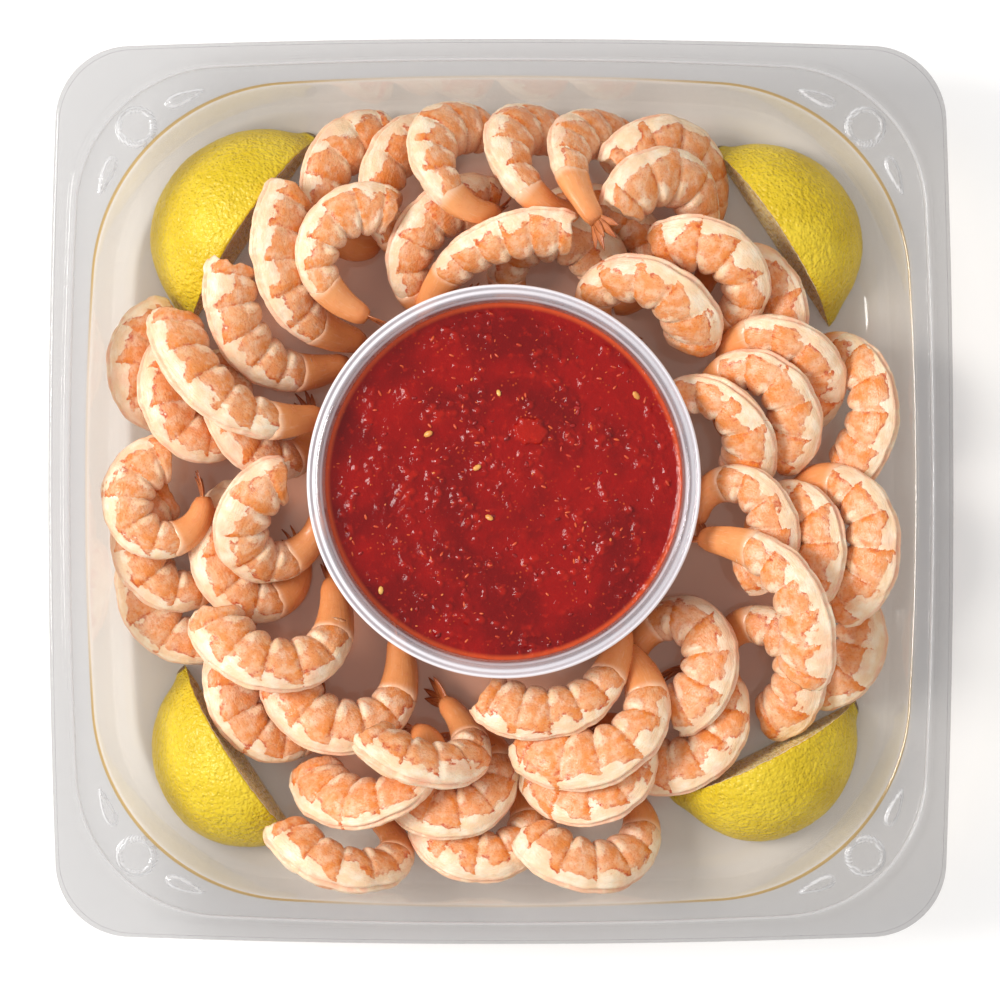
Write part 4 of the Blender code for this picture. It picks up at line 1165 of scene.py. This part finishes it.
# %% Sauce sizes
SAUCE_LEVEL, SAUCE_CREST, CREST_ROOM = 38.0, 0.9, 0.85
SAUCE_ROWS, SAUCE_AROUND = 118, 400
INTO_WALL = 0.3
LUMP_X, LUMP_Y, LUMP_WIDE, LUMP_DEEP, LUMP_RISE = 9.8, 20.6, 7.2, 5.0, 1.9


def sauce_height(x, y):
    """The relief of the sauce's top, in mm, with x and y measured from the platter's middle."""
    reach = np.hypot(x - CUP_X, y - CUP_Y)
    angle = np.arctan2(y - CUP_Y, x - CUP_X)
    flat = np.c_[x, y, np.zeros_like(x)]
    sway = 5.5 * unevenness(flat, 19.0, 61, 2)
    swirl = np.sin((reach + sway) * 0.62 - angle * 2.0) * smooth_rise(4.0, 14.0, reach)
    calm = smooth_rise(57.5, 50.0, reach)
    height = (0.16 * swirl + 0.34 * unevenness(flat, 8.0, 62, 2)) * (0.3 + 0.7 * calm)
    grain = unevenness(flat, 2.1, 63, 2)
    coarse = 0.4 + 0.6 * smooth_rise(-0.3, 0.4, unevenness(flat, 11.0, 68))
    height += (0.3 * grain + 0.1 * unevenness(flat, 0.85, 64, 2)) * coarse
    crowded = smooth_rise(-0.15, 0.35, unevenness(flat, 9.0, 66) + 0.25 * swirl)
    height += 0.65 * smooth_rise(0.62, 0.2, pore_distance(flat, 3.0, 65)) * crowded
    lump = np.hypot((x - LUMP_X) / LUMP_WIDE, (y - LUMP_Y) / LUMP_DEEP)
    lump += 0.3 * unevenness(flat, 3.2, 67, 2)
    height += LUMP_RISE * smooth_rise(1.0, 0.65, lump) * (0.85 + 0.3 * grain)
    height += 0.9 * smooth_rise(CUP_INNER - 2.6, CUP_INNER, reach) ** 2
    over = np.maximum(height - SAUCE_CREST, 0.0)
    return np.minimum(height, SAUCE_CREST) + CREST_ROOM * (1.0 - np.exp(-over / CREST_ROOM))


# %% Build the sauce
CUP_INNER = 60.3
cup_wall = ((53.2, 2.35), (54.6, 3.55), (55.3, 7.5), (CUP_INNER, 38.0), (61.0, 42.6))
wall_radius = [r for r, z in cup_wall]
wall_height = [z for r, z in cup_wall]
edge_radius = float(np.interp(SAUCE_LEVEL + 0.9, wall_height, wall_radius)) + INTO_WALL
top_share = (np.arange(1, SAUCE_ROWS + 1) / SAUCE_ROWS)[:, None]
sauce_angle = 2 * math.pi * np.arange(SAUCE_AROUND)[None, :] / SAUCE_AROUND
top_x = CUP_X + edge_radius * top_share * np.cos(sauce_angle)
top_y = CUP_Y + edge_radius * top_share * np.sin(sauce_angle)
top_z = SAUCE_LEVEL + sauce_height(top_x.ravel(), top_y.ravel())
top_points = np.c_[top_x.ravel(), top_y.ravel(), top_z]
side_heights = (32.0, 24.0, 16.0, 7.5, 3.55, 2.35)
side_profile = [(float(np.interp(z, wall_height, wall_radius)) + INTO_WALL, z) for z in side_heights]
side_profile += [(36.0, 2.05), (12.0, 2.05)]
side_points = turned(side_profile, SAUCE_AROUND, CUP_X, CUP_Y)
sauce_points = np.vstack([top_points, side_points])
sauce_rows = SAUCE_ROWS + len(side_profile)
sauce_faces = ring_faces(sauce_rows, SAUCE_AROUND)
sauce_faces += tip_faces(sauce_rows, SAUCE_AROUND, len(sauce_points))
middle_height = SAUCE_LEVEL + float(sauce_height(np.array([CUP_X]), np.array([CUP_Y]))[0])
ends = [(CUP_X, CUP_Y, middle_height), (CUP_X, CUP_Y, 2.05)]
sauce_points = np.vstack([sauce_points, ends])


# %% [markdown]
# The red of the sauce varies at random between a plain and a deep red. It is painted brighter
# the higher the relief stands, as painted sheen on the crests and the lump, and brighter in
# random spots of pulp. A thin orange film of oil and juice is left where it meets the cup. The
# surface is wet, so its gloss is sharp, and the small bump of the pulp breaks that gloss into
# many glints.

# %% Sauce material
SAUCE_RED, SAUCE_DEEP, SAUCE_PULP_AND_SHEEN = paint(148, 12, 10), paint(118, 7, 8), paint(182, 32, 16)
SAUCE_FILM = paint(222, 96, 44)


def sauce_finish():
    """Wet red pulp with painted sheen on its crests, and an orange film at the cup."""
    finish, tree, shader = new_finish("cocktail_sauce")
    place = place_field(tree)
    rise, reach = stored_field(tree, "rise"), stored_field(tree, "reach")
    pulp = noise_field(tree, place, 420.0, 3.0, 0.6)
    broad = noise_field(tree, place, 45.0, 3.0)
    colour = colour_mix(tree, broad.rise(0.38, 0.62), SAUCE_RED, SAUCE_DEEP)
    # Painted sheen: the higher the relief, the brighter the red, on crests and the lump; the random pulp
    # spots are the sauce's own lighter bits.
    crest_sheen_and_pulp = (rise.rise(0.15, 1.0) * 0.6 + pulp.rise(0.55, 0.72) * 0.45).math("MINIMUM", 1.0)
    colour = colour_mix(tree, crest_sheen_and_pulp, colour, SAUCE_PULP_AND_SHEEN)
    crumbs = cell_field(tree, place, 520.0).rise(0.24, 0.12) * noise_field(tree, place, 130.0).rise(0.5, 0.62)
    colour = colour_mix(tree, crumbs * 0.6, colour, paint(206, 84, 36))
    film = reach.rise(CUP_INNER - 1.8, CUP_INNER - 0.3) * 0.55
    colour = colour_mix(tree, film, colour, SAUCE_FILM)
    tree.links.new(colour, shader.inputs["Base Color"])
    fine = noise_field(tree, place, 1100.0, 2.0)
    height = pulp * 1.0 + fine * 0.4
    tree.links.new(bump_from(tree, height, 0.0004, 0.7), shader.inputs["Normal"])
    tree.links.new((pulp * 0.1 + 0.05).socket, shader.inputs["Roughness"])
    set_softness(shader, 0.26, 0.06, (1.0, 0.2, 0.1), 0.0015)
    return finish


sauce = make_piece("cocktail_sauce", sauce_points, sauce_faces, [sauce_finish()])
sauce_reach = np.hypot(sauce_points[:, 0] - CUP_X, sauce_points[:, 1] - CUP_Y)
paint_points(sauce, "rise", sauce_points[:, 2] - SAUCE_LEVEL)
paint_points(sauce, "reach", sauce_reach)
on_top = np.r_[np.ones(len(top_points)), np.zeros(len(side_points)), 1.0, 0.0]
paint_points(sauce, "open_top", on_top * (sauce_reach < CUP_INNER - 3.0))
print("the sauce has", settle_piece(sauce, "cocktail_sauce", "sauce"), "triangles")

# %% [markdown]
# ## Seeds and crumbs in the sauce
# The sauce is full of small bits that all look alike: pale seeds, orange crumbs of pepper and
# dark flakes. Geometry Nodes suits them: it strews points over the top, puts one small shape on
# each, and turns and sizes it at random. Each kind is one run of the same node tree with other
# inputs. Strewing them by hand would take far longer and would look more regular.

# %% The strewing tree
BIT_SEGMENTS, BIT_RINGS = 8, 5


def strewing_tree():
    """Strews one small rounded bit over the marked part of a surface."""
    tree = bpy.data.node_groups.new("strew_bits", "GeometryNodeTree")
    sockets = (
        ("Surface", "NodeSocketGeometry"), ("Density", "NodeSocketFloat"), ("Seed", "NodeSocketInt"),
        ("Smallest", "NodeSocketFloat"), ("Largest", "NodeSocketFloat"), ("Shape", "NodeSocketVector"),
        ("Depth", "NodeSocketFloat"), ("Finish", "NodeSocketMaterial"),
    )
    for name, kind in sockets:
        tree.interface.new_socket(name, in_out="INPUT", socket_type=kind)
    tree.interface.new_socket("Bits", in_out="OUTPUT", socket_type="NodeSocketGeometry")
    make, link = tree.nodes.new, tree.links.new
    given, result = make("NodeGroupInput"), make("NodeGroupOutput")

    marked = make("GeometryNodeInputNamedAttribute")
    marked.data_type = "FLOAT"
    marked.inputs["Name"].default_value = "open_top"
    density = make("ShaderNodeMath")
    density.operation = "MULTIPLY"
    link(given.outputs["Density"], density.inputs[0])
    link(marked.outputs["Attribute"], density.inputs[1])
    strew = make("GeometryNodeDistributePointsOnFaces")
    link(given.outputs["Surface"], strew.inputs["Mesh"])
    link(density.outputs[0], strew.inputs["Density"])
    link(given.outputs["Seed"], strew.inputs["Seed"])

    ball = make("GeometryNodeMeshUVSphere")
    ball.inputs["Segments"].default_value = BIT_SEGMENTS
    ball.inputs["Rings"].default_value = BIT_RINGS
    ball.inputs["Radius"].default_value = 0.5
    shaped = make("GeometryNodeTransform")
    link(ball.outputs["Mesh"], shaped.inputs["Geometry"])
    link(given.outputs["Shape"], shaped.inputs["Scale"])

    spin = make("FunctionNodeRandomValue")
    spin.data_type = "FLOAT_VECTOR"
    spin.inputs["Min"].default_value = (-0.35, -0.35, 0.0)
    spin.inputs["Max"].default_value = (0.35, 0.35, 6.283)
    link(given.outputs["Seed"], spin.inputs["Seed"])
    size = make("FunctionNodeRandomValue")
    size.data_type = "FLOAT"
    scalars = [s for s in size.inputs if s.type == "VALUE"]
    link(given.outputs["Smallest"], scalars[0])
    link(given.outputs["Largest"], scalars[1])
    link(given.outputs["Seed"], size.inputs["Seed"])
    place = make("GeometryNodeInstanceOnPoints")
    link(strew.outputs["Points"], place.inputs["Points"])
    link(shaped.outputs["Geometry"], place.inputs["Instance"])
    link(spin.outputs["Value"], place.inputs["Rotation"])
    link([s for s in size.outputs if s.type == "VALUE"][0], place.inputs["Scale"])

    down = make("ShaderNodeCombineXYZ")
    link(given.outputs["Depth"], down.inputs["Z"])
    sink = make("GeometryNodeTranslateInstances")
    sink.inputs["Local Space"].default_value = False
    link(place.outputs["Instances"], sink.inputs["Instances"])
    link(down.outputs[0], sink.inputs["Translation"])
    real = make("GeometryNodeRealizeInstances")
    link(sink.outputs["Instances"], real.inputs["Geometry"])
    finish = make("GeometryNodeSetMaterial")
    link(real.outputs["Geometry"], finish.inputs["Geometry"])
    link(given.outputs["Finish"], finish.inputs["Material"])
    link(finish.outputs["Geometry"], result.inputs["Bits"])
    return tree


def strew_over(host, name, tree, inputs):
    """Runs the tree on a piece and keeps the result as a plain mesh piece of its own."""
    modifier = host.modifiers.new("strew", "NODES")
    modifier.node_group = tree
    for item in tree.interface.items_tree:
        if item.in_out == "INPUT" and item.name in inputs:
            modifier[item.identifier] = inputs[item.name]
    bpy.context.view_layer.update()
    evaluated = host.evaluated_get(bpy.context.evaluated_depsgraph_get())
    mesh = bpy.data.meshes.new_from_object(evaluated)
    host.modifiers.remove(modifier)
    mesh.name = name
    mesh.polygons.foreach_set("use_smooth", np.ones(len(mesh.polygons), bool))
    bits = bpy.data.objects.new(name, mesh)
    bpy.context.scene.collection.objects.link(bits)
    return bits


# %% Strew the bits
def bit_finish(name, light, dark, roughness):
    """A plain food colour that varies a little from bit to bit."""
    finish, tree, shader = new_finish(name)
    place = place_field(tree)
    colour = colour_mix(tree, noise_field(tree, place, 300.0).rise(0.35, 0.65), light, dark)
    tree.links.new(colour, shader.inputs["Base Color"])
    grain = noise_field(tree, place, 2500.0, 2.0)
    tree.links.new(bump_from(tree, grain, 0.0001, 0.6), shader.inputs["Normal"])
    shader.inputs["Roughness"].default_value = roughness
    return finish


BITS = (  # name, bits per square metre, seed, smallest, largest, shape, depth, light, dark
    ("sauce_seeds", 700.0, 5, 2.0, 3.6, (1.0, 0.6, 0.35), 0.15, (236, 182, 96), (222, 148, 72)),
    ("sauce_crumbs", 13000.0, 11, 0.8, 2.6, (1.0, 0.38, 0.35), -0.04, (216, 92, 44), (192, 56, 32)),
    ("sauce_flakes", 9000.0, 17, 1.0, 2.8, (1.0, 0.55, 0.3), 0.0, (158, 20, 16), (124, 10, 12)),
    ("sauce_grains", 3000.0, 23, 0.6, 1.6, (1.0, 0.6, 0.5), 0.0, (226, 128, 66), (208, 96, 50)),
)
bits_tree = strewing_tree()
for name, density, seed, smallest, largest, shape, depth, light, dark in BITS:
    finish = bit_finish(name, paint(*light), paint(*dark), 0.25)
    inputs = {
        "Density": density, "Seed": seed, "Smallest": smallest * MM, "Largest": largest * MM,
        "Shape": shape, "Depth": depth * MM, "Finish": finish,
    }
    bits = strew_over(sauce, name, bits_tree, inputs)
    number = len(bits.data.polygons) // (BIT_SEGMENTS * BIT_RINGS)
    print(name, number, "bits,", settle_piece(bits, "cocktail_sauce"), "triangles")

# %% [markdown]
# ## Floor, light and camera
# The platter is seen from straight above, from about a metre, on a plain white floor. An even
# white sky lights the gaps, and one large soft lamp at the left gives the wet surfaces
# their highlights and the food its shading. A small lamp would give hard shadows that such food
# is never shown with.

# %% The floor
bpy.ops.mesh.primitive_plane_add(size=6.0, location=(0.0, 0.0, -0.0002))
floor = bpy.context.active_object
floor.name = "pale_floor"
floor_finish, _, floor_shader = new_finish("pale_floor")
floor_shader.inputs["Base Color"].default_value = (0.97, 0.97, 0.97, 1.0)
floor_shader.inputs["Roughness"].default_value = 0.8
floor_shader.inputs["Specular IOR Level"].default_value = 0.1
floor_shader.inputs["Emission Color"].default_value = (1.0, 1.0, 1.0, 1.0)
floor_shader.inputs["Emission Strength"].default_value = 0.11
floor.data.materials.append(floor_finish)

# %% The lights
SKY_STRENGTH = 0.71
LAMP_POWER = 19.0
sky = bpy.data.worlds.new("white_sky")
sky.use_nodes = True
sky.node_tree.nodes["Background"].inputs["Color"].default_value = (1.0, 0.99, 0.98, 1.0)
sky.node_tree.nodes["Background"].inputs["Strength"].default_value = SKY_STRENGTH
bpy.context.scene.world = sky


def soft_lamp(name, place, size, power, colour):
    """A square area lamp that faces the platter."""
    light = bpy.data.lights.new(name, "AREA")
    light.size = size
    light.energy = power
    light.color = colour
    lamp = bpy.data.objects.new(name, light)
    lamp.location = place
    way = Vector((0.0, 0.0, 0.02)) - Vector(place)
    lamp.rotation_euler = way.to_track_quat("-Z", "Y").to_euler()
    bpy.context.scene.collection.objects.link(lamp)
    return lamp


soft_lamp("window", (-1.05, 0.14, 1.15), 0.55, LAMP_POWER, (1.0, 0.99, 0.97))

# %% The camera
CAMERA_HEIGHT = 1.05
VIEW_WIDTH = 0.3374
camera_data = bpy.data.cameras.new("camera")
camera_data.sensor_width = 36.0
camera_data.lens = 36.0 * (CAMERA_HEIGHT - FLANGE_TOP * MM) / VIEW_WIDTH
camera = bpy.data.objects.new("camera", camera_data)
camera.location = (-0.0003, -0.0029, CAMERA_HEIGHT)
bpy.context.scene.collection.objects.link(camera)
bpy.context.scene.camera = camera
bpy.context.scene.view_settings.view_transform = "Standard"
print("lens", round(camera_data.lens, 1), "mm")
